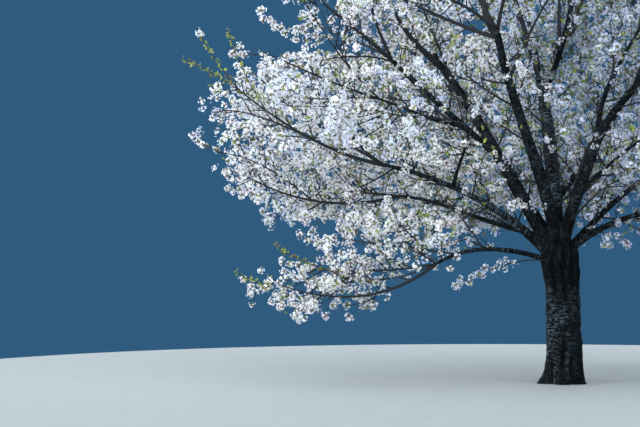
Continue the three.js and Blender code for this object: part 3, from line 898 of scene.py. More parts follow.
def meshFrom(name, vertices, faces):
    mesh = bpy.data.meshes.new(name)
    mesh.vertices.add(len(vertices))
    mesh.vertices.foreach_set("co", np.asarray(vertices, np.float32).ravel())
    mesh.loops.add(faces.size)
    mesh.loops.foreach_set("vertex_index", faces.ravel().astype(np.int32))
    mesh.polygons.add(len(faces))
    mesh.polygons.foreach_set("loop_start", (np.arange(len(faces)) * faces.shape[1]).astype(np.int32))
    mesh.update(calc_edges=True)
    return mesh


def addObject(name, mesh):
    made = bpy.data.objects.new(name, mesh)
    bpy.context.scene.collection.objects.link(made)
    return made


# tubes of one length in steps, all at once: a cap at the foot and a point at the tip
def tubes(rows, sides, first):
    points = np.array([row[0] for row in rows])
    radii = np.array([row[1] for row in rows])
    count, rings = points.shape[:2]
    tangent = np.gradient(points, axis=1)
    tangent /= np.linalg.norm(tangent, axis=2, keepdims=True)
    lead = tangent[:, :1].repeat(rings, 1)
    side = np.where(np.abs(lead[..., 2:]) < 0.9, [0.0, 0.0, 1.0], [1.0, 0.0, 0.0])
    side = side - (side * tangent).sum(2, keepdims=True) * tangent
    side /= np.linalg.norm(side, axis=2, keepdims=True)
    other = np.cross(tangent, side)
    turn = 2 * np.pi * np.arange(sides) / sides
    ring = (points[:, :-1, None]
            + radii[:, :-1, None, None] * (np.cos(turn)[:, None] * side[:, :-1, None]
                                           + np.sin(turn)[:, None] * other[:, :-1, None]))
    vertices = np.concatenate([ring.reshape(count, -1, 3), points[:, -1:]], axis=1)
    s = np.arange(sides)
    nextSide = (s + 1) % sides
    faces = []
    for step in range(rings - 2):
        a, b = step * sides + s, step * sides + nextSide
        faces += [np.stack([a, b, b + sides], 1), np.stack([a, b + sides, a + sides], 1)]
    last = (rings - 2) * sides
    faces.append(np.stack([last + s, last + nextSide, np.full(sides, last + sides)], 1))
    faces.append(np.stack([np.zeros(sides - 2, int), s[2:], s[1:-1]], 1))
    starts = first + vertices.shape[1] * np.arange(count)
    return vertices.reshape(-1, 3), (np.concatenate(faces)[None] + starts[:, None, None]).reshape(-1, 3)


def tubeMesh(name, groups):
    vertices, faces, first = [], [], 0
    for kind, sides in groups:
        for steps in sorted({len(row[0]) for row in paths[kind]}):
            same = [row for row in paths[kind] if len(row[0]) == steps]
            v, f = tubes(same, sides, first)
            vertices.append(v)
            faces.append(f)
            first += len(v)
    return meshFrom(name, np.concatenate(vertices), np.concatenate(faces))


# Materials and node trees

# gives a node's inputs their values, or the outputs that feed them
def setInputs(tree, node, inputs):
    for key, value in inputs.items():
        if isinstance(value, bpy.types.NodeSocket):
            tree.links.new(value, node.inputs[key])
        else:
            node.inputs[key].default_value = value


def addNode(tree, kind, inputs={}, **settings):
    node = tree.nodes.new(kind)
    for key, value in settings.items():
        setattr(node, key, value)
    setInputs(tree, node, inputs)
    return node


def newMaterial(name):
    material = bpy.data.materials.new(name)
    material.use_nodes = True
    return material, material.node_tree, material.node_tree.nodes["Principled BSDF"]


def ramp(tree, fac, stops):
    node = addNode(tree, "ShaderNodeValToRGB", {"Fac": fac})
    for element, (position, tone) in zip(node.color_ramp.elements, stops):
        element.position = position
        element.color = (*tone, 1) if isinstance(tone, tuple) else (tone, tone, tone, 1)
    return node.outputs["Color"]


barkLook = {
    # the fissures' colour: the bark's blackest cracks, partly painted shade in them
    "crackColourAndShade": (0.0007, 0.0009, 0.0011),
    "plain": (0.0008, 0.0016, 0.0021),
    "ridge": (0.0042, 0.0078, 0.0102),
    "silver": (0.092, 0.121, 0.142),
    "lenticel": (0.034, 0.031, 0.029),
    "roughness": 0.8, "shine": 0.04,
    "patterns": {  # stretch round, round and along the limb, then scale, detail and roughness
        "bands": ((2.8, 2.8, 8.5), 5.8, 6, 0.6), "weather": ((1, 1, 0.6), 4.5, 3, 0.5),
        "dashes": ((1, 1, 5), 26.0, 2, 0.4), "fissures": ((5, 5, 1), 9.0, 4, 0.65),
        "grain": ((1, 1, 1), 60.0, 6, 0.7),
    },
    "tones": {  # the pattern it reads, and from where to where it sets in
        "banded": ("bands", (0.47, 0.0), (0.62, 1.0)), "weathered": ("weather", (0.38, 0.12), (0.60, 1.0)),
        "dashed": ("dashes", (0.60, 0.0), (0.68, 1.0)), "cracked": ("fissures", (0.36, 1.0), (0.46, 0.0)),
        "ridged": ("fissures", (0.53, 0.0), (0.66, 1.0)),
    },
    "bumps": [  # the pattern, strength, height
        ("bands", 0.8, 0.012), ("fissures", 0.7, 0.012), ("dashed", 0.6, 0.004), ("grain", 0.5, 0.004),
    ],
}


# reads the limb's own lengthwise coordinates, so bands run round every limb
def barkMaterial():
    material, tree, shader = newMaterial("cherryBark")
    place = addNode(tree, "ShaderNodeAttribute", attribute_name="limbPlace").outputs["Vector"]
    silverAndPaintedLight = addNode(tree, "ShaderNodeAttribute", attribute_name="silverAndPaintedLight").outputs["Fac"]
    seen = {}
    for name, (stretched, scale, detail, rough) in barkLook["patterns"].items():
        mapped = addNode(tree, "ShaderNodeMapping", {"Vector": place, "Scale": stretched}).outputs["Vector"]
        seen[name] = addNode(tree, "ShaderNodeTexNoise", {
            "Vector": mapped, "Scale": scale, "Detail": detail, "Roughness": rough}).outputs["Fac"]
    for name, (pattern, *stops) in barkLook["tones"].items():
        seen[name] = ramp(tree, seen[pattern], stops)

    def times(first, second):
        return addNode(tree, "ShaderNodeMath", {0: first, 1: second}, operation="MULTIPLY").outputs[0]

    def mixed(share, first, second):
        first, second = ((*c, 1) if isinstance(c, tuple) else c for c in (first, second))
        return addNode(tree, "ShaderNodeMix", {0: share, 6: first, 7: second}, data_type="RGBA").outputs[2]

    colour = mixed(seen["ridged"], barkLook["plain"], barkLook["ridge"])
    # silver where the attribute allows: the bark's own silver, with painted highlight on the key light's side
    # and painted shade in the clefts
    colour = mixed(times(times(seen["banded"], seen["weathered"]), silverAndPaintedLight), colour, barkLook["silver"])
    colour = mixed(times(seen["dashed"], silverAndPaintedLight), colour, barkLook["lenticel"])
    # blackest in the fissures: the bark's own cracks, with painted shade in them
    colour = mixed(seen["cracked"], colour, barkLook["crackColourAndShade"])
    before = {}
    for name, strength, distance in barkLook["bumps"]:
        bump = {"Height": seen[name], "Strength": strength, "Distance": distance}
        before = {"Normal": addNode(tree, "ShaderNodeBump", {**bump, **before}).outputs["Normal"]}
    setInputs(tree, shader, {"Base Color": colour, **before, "Roughness": barkLook["roughness"],
                             "Specular IOR Level": barkLook["shine"]})
    return material


softLooks = {  # how mottled, the mottling's scale, roughness, relief, and the share of light let through
    "twig": (0.5, 60, 0.8, 0.002, 0), "petal": (0.04, 40, 0.6, 0.001, 0.5), "stalk": (0.2, 80, 0.6, 0.001, 0),
    "leaf": (0.18, 60, 0.5, 0.001, 0.3), "floor": (0.02, 3, 0.8, 0.001, 0),
}


# a soft surface with faint mottling and relief, which light from behind may shine through
def softMaterial(name, colour, look):
    mottle, scale, roughness, relief, through = softLooks[look]
    material, tree, shader = newMaterial(name)
    place = addNode(tree, "ShaderNodeTexCoord").outputs["Object"]
    mottling = addNode(tree, "ShaderNodeTexNoise", {
        "Vector": place, "Scale": scale, "Detail": 3.0}).outputs["Fac"]
    tones = ramp(tree, mottling, [(0.35, tuple(c * (1 - mottle) for c in colour)),
                                  (0.65, tuple(min(1, c * (1 + mottle)) for c in colour))])
    bump = addNode(tree, "ShaderNodeBump", {"Height": mottling, "Strength": 0.4, "Distance": relief})
    setInputs(tree, shader, {"Base Color": tones, "Normal": bump.outputs["Normal"], "Roughness": roughness,
                             "Specular IOR Level": 0.25})
    if through:
        thin = addNode(tree, "ShaderNodeBsdfTranslucent", {"Color": tones})
        both = addNode(tree, "ShaderNodeMixShader", {
            "Fac": through, 1: shader.outputs["BSDF"], 2: thin.outputs["BSDF"]})
        setInputs(tree, tree.nodes["Material Output"], {"Surface": both.outputs["Shader"]})
    return material


# Bark: trunk and boughs as one skin, with its relief

barkSkin = {
    "voxel": 0.0165, "smoothing": 3, "trunkSides": 48, "trunkEvery": 0.03,
    "boughSides": 18, "boughEvery": 0.03, "fewestSteps": 14,
    "collar": 0.22, "collarLength": 0.09, "trunkReach": 0.2,  # a bough widens where it leaves its parent
    "fuller": {  # how much fuller some limbs are at their foot, in the middle and at the tip
        "left_leader": (1.22, 1.24, 1.15), "front_leader": (1.1, 1.08, 1.0),
        "centre_leader": (1.05, 1.32, 1.15), "left_long": (0.9, 0.8, 0.9),
    },
    "lumps": (0.016, 0.16, 0.07),  # height, and the width of the large and the small ones
    "bands": (0.0055, 1.3, 0.032),  # height, how many round, and how far apart
    "fissures": (0.015, 6, 0.26, 1.25),  # depth, how many round, how long, and below which height
    "clefts": [  # heading, lowest and highest point, depth, half the width in degrees
        (228, 1.0, 1.75, 0.045, 9), (268, 0.92, 1.75, 0.05, 8), (300, 1.08, 1.75, 0.045, 8),
        (345, 1.1, 1.7, 0.04, 9), (35, 1.05, 1.7, 0.04, 9), (95, 1.0, 1.7, 0.045, 9),
        (150, 1.1, 1.7, 0.04, 9), (262, 0.02, 0.66, 0.03, 6), (292, -0.05, 0.42, 0.026, 7),
        (224, -0.05, 0.36, 0.024, 7), (12, -0.05, 0.5, 0.03, 8), (75, -0.05, 0.6, 0.03, 8),
        (160, -0.05, 0.45, 0.03, 8),
    ],
    "cleftWander": (14, 0.22),  # in degrees, and over which height
    "silver": {"trunk": 0.8, "centre_leader": 0.95, "left_long": 0.6, "right_low": 0.6, "others": 0.3},
    # painted highlight: the trunk's silver is strongest on the side that faces the key light
    "keyLightSide": 200,  # the heading with most silver, low on the trunk
}


# soft random values from 0 to 1 on a cubic grid of unit cells
def softNoise(places, seed):
    cell = np.floor(places).astype(np.int64)
    part = places - cell
    part = part * part * (3 - 2 * part)
    total = np.zeros(len(places))
    for corner in np.ndindex(2, 2, 2):
        at = cell + corner
        mixed = at[:, 0] * 73856093 ^ at[:, 1] * 19349663 ^ at[:, 2] * 83492791 ^ seed * 2654435761
        mixed = (mixed ^ (mixed >> 13)) * 1274126177 & 0xFFFFFFFF
        mixed = (mixed ^ (mixed >> 16)) & 0xFFFF
        weight = np.prod(np.where(corner, part, 1 - part), axis=1)
        total += weight * mixed / 65535
    return total


def trunkRings():
    top = sections[-1, 0]
    turns = np.linspace(0, 360, barkSkin["trunkSides"], endpoint=False)
    rings = []
    for z in np.append(np.arange(0, top - 0.01, barkSkin["trunkEvery"]), top):
        x, y, radius = (np.interp(z, sections[:, 0], sections[:, c]) for c in (1, 2, 3))
        reach = np.full(len(turns), radius)
        for heading, out in trunk["roots"]:
            off = np.abs((turns - heading + 540) % 360 - 180)
            reach += out * math.exp(-z / trunk["rootHeight"]) * np.exp(-(off / trunk["rootWidth"]) ** 2)
        rings.append(np.stack([x + reach * np.cos(np.radians(turns)),
                               y + reach * np.sin(np.radians(turns)), np.full(len(turns), z)], 1))
    return rings


def ringSkin(rings):
    sides, last = len(rings[0]), (len(rings) - 1) * len(rings[0])
    s = np.arange(sides)
    faces = []
    for first in range(0, last, sides):
        a, b = first + s, first + (s + 1) % sides
        faces += [np.stack([a, b, b + sides], 1), np.stack([a, b + sides, a + sides], 1)]
    faces.append(np.stack([np.zeros(sides - 2, int), s[2:], s[1:-1]], 1))
    faces.append(np.stack([np.full(sides - 2, last), last + s[1:-1], last + s[2:]], 1))
    return np.concatenate(rings), np.concatenate(faces)


def boughRings(points, radii):
    tangent = np.gradient(points, axis=0)
    tangent /= np.linalg.norm(tangent, axis=1, keepdims=True)
    side = np.array([1.0, 0, 0]) if abs(tangent[0, 2]) > 0.9 else zUp
    turn = np.linspace(0, 2 * np.pi, barkSkin["boughSides"], endpoint=False)[:, None]
    rings = []
    for place, ahead, radius in zip(points, tangent, radii):
        side = unit(side - (side @ ahead) * ahead)
        other = np.cross(ahead, side)
        rings.append(place + radius * (np.cos(turn) * side + np.sin(turn) * other))
    return rings


# a bough in fine steps, with the collar where it leaves its parent
def fineBough(name):
    parent, at, *shape, _ = boughs[name]
    start, tip = limbs[name][0][[0, -1]]
    steps = max(barkSkin["fewestSteps"], round(np.linalg.norm(tip - start) / barkSkin["boughEvery"]))
    points, radii = growBough(start, *shape, steps)
    parentRadius = barkSkin["trunkReach"] if parent == "trunk" else along(limbs[parent], at)[2]
    beyond = np.clip(np.linalg.norm(points - start, axis=1) - parentRadius, 0, None)
    radii = radii * (1 + barkSkin["collar"] * np.exp(-beyond / barkSkin["collarLength"]))
    fuller = barkSkin["fuller"].get(name, (1, 1, 1))
    return points, radii * np.interp(np.linspace(0, 1, steps + 1), (0, 0.6, 1), fuller)


fineLimbs = {"trunk": limbs["trunk"], **{name: fineBough(name) for name in boughs}}


def joinedSkin():
    vertices, faces, first = [], [], 0
    for name, limb in fineLimbs.items():
        v, f = ringSkin(trunkRings() if name == "trunk" else boughRings(*limb))
        vertices.append(v)
        faces.append(f + first)
        first += len(v)
    rough = addObject("roughBark", meshFrom("roughBark", np.concatenate(vertices), np.concatenate(faces)))
    remesh = rough.modifiers.new("oneSkin", "REMESH")
    remesh.mode = "VOXEL"
    remesh.voxel_size = barkSkin["voxel"]
    smooth = rough.modifiers.new("softCrotches", "SMOOTH")
    smooth.factor = 0.5
    smooth.iterations = barkSkin["smoothing"]
    graph = bpy.context.evaluated_depsgraph_get()
    mesh = bpy.data.meshes.new_from_object(rough.evaluated_get(graph))
    bpy.data.objects.remove(rough)
    return mesh


# each point's place on its nearest limb, in columns: round it, round it, along it, the limb's radius
# there, whether it is the trunk, and how silver it is
def limbPlaces(places):
    rows, frames = [], []
    for name, (points, radii) in fineLimbs.items():
        silver = barkSkin["silver"].get(name, barkSkin["silver"]["others"])
        reached = 0
        for i, length in enumerate(np.linalg.norm(np.diff(points, axis=0), axis=1)):
            run = points[i + 1] - points[i]
            ahead = run / length
            side = np.array([1.0, 0, 0]) if abs(unit(points[-1] - points[0])[2]) > 0.8 else zUp
            side = unit(side - (side @ ahead) * ahead)
            rows.append([*points[i], *run, radii[i], radii[i + 1] - radii[i], reached, silver])
            frames.append([side, np.cross(ahead, side)])
            reached += length
    rows, frames = np.array(rows), np.array(frames)
    lengths = np.linalg.norm(rows[:, 3:6], axis=1)
    found = []
    for low in range(0, len(places), 4000):
        part = places[low:low + 4000, None]
        share = ((part - rows[None, :, :3]) * rows[None, :, 3:6]).sum(2) / lengths**2
        share = np.clip(share, 0, 1)
        off = part - rows[None, :, :3] - rows[None, :, 3:6] * share[..., None]
        gap = np.linalg.norm(off, axis=2) - rows[:, 6] - rows[:, 7] * share
        best = gap.argmin(1)
        pick = np.arange(len(best))
        out, share = off[pick, best], share[pick, best]
        found.append(np.column_stack([
            (out * frames[best, 0]).sum(1), (out * frames[best, 1]).sum(1),
            rows[best, 8] + share * lengths[best], rows[best, 6] + rows[best, 7] * share,
            best < len(sections) - 1, rows[best, 9]]))
    return np.concatenate(found)


# how far the skin stands out at each point, and how much silver shows there, with painted highlight on the
# side that faces the key light and painted shade in the clefts
def relief(places, onLimb):
    roundX, roundY, run, radius, onTrunk, _ = onLimb.T
    height = places[:, 2]
    size = np.clip(radius / 0.2, 0.12, 1)
    turned = np.stack([roundX / radius, roundY / radius], 1)
    lumpHigh, large, small = barkSkin["lumps"]
    lumps = softNoise(places / large, 1) - 0.5 + 0.5 * (softNoise(places / small, 2) - 0.5)
    bandHigh, bandsRound, bandEvery = barkSkin["bands"]
    bands = np.clip(softNoise(np.column_stack([turned * bandsRound, run / bandEvery]), 3) - 0.45, 0, 1) * 2
    crackDeep, cracksRound, crackLong, cracksBelow = barkSkin["fissures"]
    cracked = softNoise(np.column_stack([turned * cracksRound, run / crackLong]), 4)
    cracks = np.clip(1 - np.abs(cracked - 0.5) / 0.09, 0, 1)
    low = np.clip(cracksBelow - height, 0, 1) * onTrunk
    angle = np.degrees(np.arctan2(places[:, 1], places[:, 0]))
    sway, swayOver = barkSkin["cleftWander"]
    wander = sway * (softNoise(np.column_stack([height / swayOver, places[:, :2] * 0]), 5) - 0.5)
    cleft = np.zeros(len(places))
    for heading, lowest, highest, depth, width in barkSkin["clefts"]:
        off = (angle - heading + wander + 540) % 360 - 180
        middle, half = (lowest + highest) / 2, (highest - lowest) / 2
        inside = np.clip(1 - ((height - middle) / half) ** 2, 0, 1) ** 0.7
        cleft = np.maximum(cleft, depth * inside * np.exp(-(off / width) ** 2) * onTrunk)
    outward = lumpHigh * lumps * size + bandHigh * bands * np.sqrt(size)
    # less silver low on the trunk, away from the key light's side and in the clefts: painted highlight on the
    # lit side, painted shade in the clefts
    facing = (0.5 + 0.5 * np.cos(np.radians(angle - barkSkin["keyLightSide"]))) ** 1.5
    side = (0.25 + 0.75 * facing) * np.clip((1.2 - height) / 0.14, 0.14, 1)
    side *= np.clip(0.3 + 0.7 * facing + height - 0.35, 0.2, 1)
    # painted shade: the silver fades out in the clefts, so only the plain bark colour shows there
    paintedLightOnSilver = np.clip(1 - cleft / 0.02, 0, 1) * np.where(onTrunk > 0, side, 1)
    return outward - crackDeep * cracks * low - cleft, paintedLightOnSilver


def makeBark():
    mesh = joinedSkin()
    places = np.empty(len(mesh.vertices) * 3, np.float32)
    mesh.vertices.foreach_get("co", places)
    places = places.reshape(-1, 3).astype(float)
    normals = np.empty(len(mesh.vertices) * 3, np.float32)
    mesh.vertex_normals.foreach_get("vector", normals)
    onLimb = limbPlaces(places)
    outward, paintedLightOnSilver = relief(places, onLimb)
    places += normals.reshape(-1, 3) * outward[:, None]
    places[:, 2] = np.clip(places[:, 2], 0, None)
    mesh.vertices.foreach_set("co", places.astype(np.float32).ravel())
    for name, kind, field, values in (("limbPlace", "FLOAT_VECTOR", "vector", onLimb[:, :3]),
                                      ("silverAndPaintedLight", "FLOAT", "value", onLimb[:, 5] * paintedLightOnSilver)):
        stored = mesh.attributes.new(name, kind, "POINT")
        stored.data.foreach_set(field, values.astype(np.float32).ravel())
    mesh.polygons.foreach_set("use_smooth", np.ones(len(mesh.polygons), bool))
    mesh.materials.append(barkMaterial())
    mesh.update()
    return addObject("bark", mesh)


bark = makeBark()
print("bark made,", len(bark.data.polygons), "faces")


# Twigs and shoots: the sides of each kind's tubes

twigSides = {"twigs": [("limb", 8), ("branch", 5), ("twig", 3)], "shoots": [("shoot", 3)]}
twigColour = (0.009, 0.010, 0.012)

twigBark = softMaterial("twigBark", twigColour, "twig")
twigPiece, shootPiece = (addObject(name, tubeMesh(name, groups)) for name, groups in twigSides.items())
for piece in (twigPiece, shootPiece):
    piece.data.materials.append(twigBark)
print("twigs made,", len(twigPiece.data.polygons), "and", len(shootPiece.data.polygons), "faces")


# Umbels: some kinds, each of a few flowers on stalks with young leaves at the foot

umbel = {
    "kinds": 10, "leafyKinds": 3, "flowers": (6, 7), "stalk": (0.024, 0.030),
    "spread": (15, 95),  # the first flower's lean and the widest
    "outer": (0.35, 0.65),  # how far between them the others lean
    "flower": 0.0165, "flowerVariety": (0.85, 0.3), "cup": 0.24, "cupVariety": (0.5, 1.1),
    "nod": 0.9,  # how freely a flower turns off its stalk's line
    "petal": [(0.2, 0, 0), (1.02, -31, 1.1), (1.02, 34, 0.5)],  # each corner's reach, turn and rise
    "stalkWidth": 0.0022, "bract": 0.018, "bractHigh": 2.2,
    "leaf": (0.044, 0.013), "leafVariety": (0.75, 0.5), "leafLean": (35, 50), "leafWidest": 0.48,
    "leaves": (0, 3), "leafyLeaves": (4, 6),
    "size": 1.0, "sizes": (0.86, 0.3),
}


def frameOf(ahead):
    side = unit(np.cross(ahead, zUp if abs(ahead[2]) < 0.9 else np.array([1.0, 0, 0])))
    return side, np.cross(ahead, side)


def addFace(part, *corners):
    vertices, faces = part
    faces.append(tuple(range(len(vertices), len(vertices) + len(corners))))
    vertices += corners


# five petals round an open heart on each stalk, a bract at the foot, young leaves beside them
def umbelKind(seed, blooming):
    draw = chance(seed)
    petals, stalks, leaves = ([], []), ([], []), ([], [])
    nearlyUp = np.array([0.02, 0, 1.0])
    low, high = umbel["flowers"]
    flowers = low + int(draw() * (high - low + 1)) if blooming else 0
    steep, wide = umbel["spread"]
    for i in range(flowers):
        lean = steep if i == 0 else steep + (wide - steep) * pick(umbel["outer"], draw)
        stalk = leaning(nearlyUp, lean, i * 360 / (flowers - 0.5) + 50 * draw())
        middle = stalk * pick(umbel["stalk"], draw)
        facing = unit(stalk + umbel["nod"] * np.array([draw() - 0.5, draw() - 0.5, draw() - 0.5]))
        side, other = frameOf(facing)
        turn = 72 * draw()
        radius = umbel["flower"] * pick(umbel["flowerVariety"], draw)
        for k in range(5):
            cup = umbel["cup"] * pick(umbel["cupVariety"], draw)
            corners = []
            for share, off, rise in umbel["petal"]:
                a = math.radians(turn + 72 * k + off)
                corners.append(middle + radius * (share * (math.cos(a) * side + math.sin(a) * other)
                                                  + cup * rise * share * facing))
            addFace(petals, *corners)
        width = unit(np.cross(stalk, facing + 0.01)) * umbel["stalkWidth"]
        addFace(stalks, np.zeros(3), middle + width, middle - width)
    if blooming:
        a = math.pi * draw()
        across = np.array([math.cos(a), math.sin(a), 0]) * umbel["bract"]
        tip = across * 0.2 + zUp * umbel["bract"] * umbel["bractHigh"]
        addFace(stalks, across * -0.6, across * 0.6, tip)
    low, high = umbel["leaves"] if blooming else umbel["leafyLeaves"]
    for i in range(low + int(draw() * (high - low + 1))):
        ahead = leaning(nearlyUp, pick(umbel["leafLean"], draw), 360 * draw())
        side, other = frameOf(ahead)
        long, wide = (s * pick(umbel["leafVariety"], draw) for s in umbel["leaf"])
        first = len(leaves[0])
        middle, fold = ahead * long * umbel["leafWidest"], other * wide * 0.5
        edges = [middle + side * wide + fold, middle - side * wide + fold]
        leaves[0].extend([np.zeros(3), edges[0], ahead * long, edges[1]])
        leaves[1].extend([(first, first + 1, first + 2), (first, first + 2, first + 3)])
    return petals, stalks, leaves


kinds = [umbelKind(seeds["flowerKind"] + k, True) for k in range(umbel["kinds"])]
kinds += [umbelKind(seeds["leafKind"] + k, False) for k in range(umbel["leafyKinds"])]


# the number of an umbel in flower, or of one with leaves alone
def kindFor(blooming, chosen):
    if blooming:
        return int(chosen * umbel["kinds"])
    return umbel["kinds"] + int(chosen * umbel["leafyKinds"])


# sets one kind of mesh on every point: turned by the point's facing and turn, sized by its size
def scatterTree():
    tree = bpy.data.node_groups.new("umbelsOnTwigs", "GeometryNodeTree")
    for name, kind in (("Geometry", "Geometry"), ("Umbel Kinds", "Collection"), ("Umbel Size", "Float"),
                       ("Finish", "Material")):
        tree.interface.new_socket(name, in_out="INPUT", socket_type="NodeSocket" + kind)
    tree.interface.new_socket("Geometry", in_out="OUTPUT", socket_type="NodeSocketGeometry")
    given = addNode(tree, "NodeGroupInput").outputs

    def stored(name, kind):
        node = addNode(tree, "GeometryNodeInputNamedAttribute", {"Name": name}, data_type=kind)
        return node.outputs["Attribute"]

    toFacing = addNode(tree, "FunctionNodeAlignRotationToVector", {
        "Vector": stored("facing", "FLOAT_VECTOR")}, axis="Z")
    spin = addNode(tree, "FunctionNodeAxisAngleToRotation", {
        "Axis": (0, 0, 1), "Angle": stored("turn", "FLOAT")})
    turned = addNode(tree, "FunctionNodeRotateRotation", {
        "Rotation": toFacing.outputs["Rotation"], "Rotate By": spin.outputs["Rotation"],
    }, rotation_space="LOCAL")
    sized = addNode(tree, "ShaderNodeMath", {0: stored("size", "FLOAT"), 1: given["Umbel Size"]},
                    operation="MULTIPLY")
    chosen = addNode(tree, "GeometryNodeCollectionInfo", {
        "Collection": given["Umbel Kinds"], "Separate Children": True, "Reset Children": True})
    placed = addNode(tree, "GeometryNodeInstanceOnPoints", {
        "Points": given["Geometry"], "Instance": chosen.outputs["Instances"], "Pick Instance": True,
        "Instance Index": stored("kind", "INT"), "Rotation": turned.outputs["Rotation"],
        "Scale": sized.outputs[0]})
    real = addNode(tree, "GeometryNodeRealizeInstances", {"Geometry": placed.outputs["Instances"]})
    finished = addNode(tree, "GeometryNodeSetMaterial", {
        "Geometry": real.outputs["Geometry"], "Material": given["Finish"]})
    addNode(tree, "NodeGroupOutput", {"Geometry": finished.outputs["Geometry"]})
    return tree


def kindsCollection(name, part):
    group = bpy.data.collections.new(name)
    for number, kind in enumerate(kinds):
        vertices, faces = kind[part]
        mesh = bpy.data.meshes.new(f"{name}_{number:02d}")
        mesh.from_pydata([tuple(v) for v in vertices], [], faces)
        group.objects.link(bpy.data.objects.new(f"{name}_{number:02d}", mesh))
    return group


# a piece of blossom: one part of the umbels, its petals, stalks or leaves, at every row's place
def scatter(name, rows, group, finish):
    mesh = bpy.data.meshes.new(name)
    mesh.from_pydata([tuple(row["end"]) for row in rows], [], [])
    stored = {"facing": ("FLOAT_VECTOR", "vector"), "turn": ("FLOAT", "value"), "size": ("FLOAT", "value"),
              "kind": ("INT", "value")}
    for key, (kind, field) in stored.items():
        values = mesh.attributes.new(key, kind, "POINT")
        values.data.foreach_set(field, np.array([row[key] for row in rows]).ravel())
    points = addObject(name + "_points", mesh)
    modifier = points.modifiers.new("umbels", "NODES")
    modifier.node_group = umbelTree
    sockets = {item.name: item.identifier for item in umbelTree.interface.items_tree
               if item.in_out == "INPUT"}
    for socket, value in (("Umbel Kinds", group), ("Umbel Size", umbel["size"]), ("Finish", finish)):
        modifier[sockets[socket]] = value
    graph = bpy.context.evaluated_depsgraph_get()
    made = bpy.data.meshes.new_from_object(points.evaluated_get(graph))
    made.name = name
    bpy.data.objects.remove(points)
    for key in stored:
        if key in made.attributes:
            made.attributes.remove(made.attributes[key])
    return addObject(name, made)


# Blossom, in tints. The bluish and lilac tints are partly the petals' own bluish cast and partly painted
# shade; the mist and deepest tints are darker copies of the white petals, painted shade

petalTints = {
    "petalsWhite": (0.88, 0.88, 0.90), "petalsCool": (0.74, 0.78, 0.85), "petalsWarm": (0.88, 0.86, 0.85),
    "petalsLilac": (0.64, 0.66, 0.82), "petalsBlush": (0.87, 0.82, 0.85), "petalsShade": (0.42, 0.47, 0.59),
    "petalsMist": (0.66, 0.70, 0.78),
}
leafTints = {"leavesGreen": (0.14, 0.19, 0.035), "leavesYellow": (0.21, 0.24, 0.05),
             "leavesBronze": (0.11, 0.10, 0.045)}
stalkColour = (0.15, 0.095, 0.075)
stalkSplit = -1  # the stalks are two pieces, left and right of here
# painted shade: sprays on the crown's right, away from the key light, and in the deeper patches take darker,
# bluer petal tints
paintedShadeSide = {
    "from": -0.4, "wander": 1.6, "patch": 0.8, "share": 0.5,  # where it starts, in patches
    # what each tint of a spray becomes on the painted-shade side and elsewhere, in a lighter and in a deeper
    # patch
    "becomes": [(6, 6, 3, 6, 5), (5, 5, 3, 6, 5)], "elsewhere": [(0, 0, 2, 4, 4), (1, 1, 1, 3, 4)],
}


# the tint a spray takes where it stands: deeper and bluer on the trunk's side of the crown, in patches. This
# is painted shade on the side away from the key light, and the deeper patches elsewhere are painted shade too
def tintAt(place, tint):
    noise = softNoise(place[None] / paintedShadeSide["patch"], 9)[0]
    inPaintedShade = place[0] > paintedShadeSide["from"] + paintedShadeSide["wander"] * (noise - 0.5)
    lighter, deeper = paintedShadeSide["becomes" if inPaintedShade else "elsewhere"]
    return deeper[tint] if noise > paintedShadeSide["share"] else lighter[tint]


def umbelRows():
    rows = []
    draw = chance(seeds["umbel"])
    for end, facings, tint, blooming, _ in bunches:
        leafTint = int(draw() * len(leafTints))
        shown = tintAt(end, tint)
        for facing in facings:
            rows.append(dict(end=end, facing=facing, turn=2 * math.pi * draw(),
                             size=pick(umbel["sizes"], draw), tint=shown, blooming=blooming,
                             kind=kindFor(blooming, draw()), leafTint=leafTint))
    return rows


umbelTree = scatterTree()
rows = umbelRows()
inFlower = [row for row in rows if row["blooming"]]
print("umbels:", len(rows))

petalKinds, stalkKinds, leafKinds = (kindsCollection(name, part) for part, name in
                                     enumerate(("petalKinds", "stalkKinds", "leafKinds")))
blossomPieces = []
for number, (name, colour) in enumerate(petalTints.items()):
    chosen = [row for row in inFlower if row["tint"] == number]
    blossomPieces.append(scatter(name, chosen, petalKinds, softMaterial(name, colour, "petal")))
stalkFinish = softMaterial("stalks", stalkColour, "stalk")
for name, left in (("stalksLeft", True), ("stalksRight", False)):
    chosen = [row for row in inFlower if (row["end"][0] < stalkSplit) == left]
    blossomPieces.append(scatter(name, chosen, stalkKinds, stalkFinish))
for number, (name, colour) in enumerate(leafTints.items()):
    chosen = [row for row in rows if row["leafTint"] == number]
    blossomPieces.append(scatter(name, chosen, leafKinds, softMaterial(name, colour, "leaf")))
for group in (petalKinds, stalkKinds, leafKinds):
    for part in list(group.objects):
        bpy.data.objects.remove(part)
    bpy.data.collections.remove(group)
for piece in blossomPieces:
    print("blossom:", piece.name, len(piece.data.polygons), "faces")

# Hide the solids that the pieces replace, and attach the pieces to the root body

boughNodes = ["trunk"] + ["bough_" + name for name in boughs]
massNodes = [mass["name"] for mass in masses]
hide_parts(*boughNodes)
for piece in (twigPiece, shootPiece):
    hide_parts(*massNodes)
for piece in blossomPieces:
    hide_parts(*massNodes)
pieces = [bark, twigPiece, shootPiece, *blossomPieces]
for piece in pieces:
    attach(piece, "root")

# Floor, light and camera

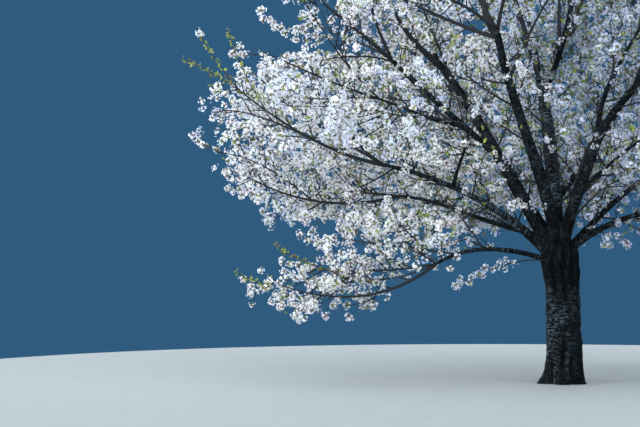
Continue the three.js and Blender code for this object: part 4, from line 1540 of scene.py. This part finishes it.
stageLook = {
    "floorRadius": 9.0, "floorSides": 128, "floorHeight": -0.002, "floor": (0.25, 0.26, 0.255),
    "sky": (0.030, 0.105, 0.207), "skyStrength": 1.0, "aim": (0, 0, 3),
    "lights": [  # strength, where from, how wide in degrees, colour
        ("key", 1.4, (-12, -6, 8), 12, (1.0, 0.985, 0.97)),
        ("skylight", 7.7, (-4, -9, 8), 140, (0.84, 0.93, 1.0)),
        ("front", 3.2, (1, -12, 1.5), 120, (0.87, 0.95, 1.0)),
        ("rear", 3.4, (-6, 12, 6), 140, (0.88, 0.95, 1.0)),
    ],
}


def makeFloor():
    sides = stageLook["floorSides"]
    turns = np.linspace(0, 2 * np.pi, sides, endpoint=False)
    ring = np.stack([np.cos(turns), np.sin(turns), np.zeros(sides)], 1) * stageLook["floorRadius"]
    ring[:, 2] = stageLook["floorHeight"]
    mesh = meshFrom("floor", ring, np.arange(sides)[None])
    mesh.materials.append(softMaterial("paleFloor", stageLook["floor"], "floor"))
    addObject("floor", mesh)


def addLight(name, strength, place, width, colour):
    lamp = addObject(name, bpy.data.lights.new(name, "SUN"))
    lamp.data.energy = strength
    lamp.data.angle = math.radians(width)
    lamp.data.color = colour
    lamp.location = place
    aim = Vector(stageLook["aim"]) - Vector(place)
    lamp.rotation_euler = aim.to_track_quat("-Z", "Y").to_euler()


makeFloor()
for light in stageLook["lights"]:
    addLight(*light)

world = bpy.data.worlds.new("softSky")
world.use_nodes = True
setInputs(world.node_tree, world.node_tree.nodes["Background"], {
    "Color": (*stageLook["sky"], 1), "Strength": stageLook["skyStrength"]})
bpy.context.scene.world = world

lens = bpy.data.cameras.new("camera")
lens.lens = viewpoint["lens"]
lens.sensor_width = viewpoint["sensor"]
lens.clip_end = viewpoint["farthest"]
camera = addObject("camera", lens)
camera.location = viewpoint["place"]
camera.rotation_euler = (math.radians(90 + viewpoint["rise"]), 0, 0)
bpy.context.scene.camera = camera
bpy.context.scene.view_settings.view_transform = "Standard"

total = sum(sum(len(p.vertices) - 2 for p in piece.data.polygons) for piece in pieces)
print("triangles in all:", total)
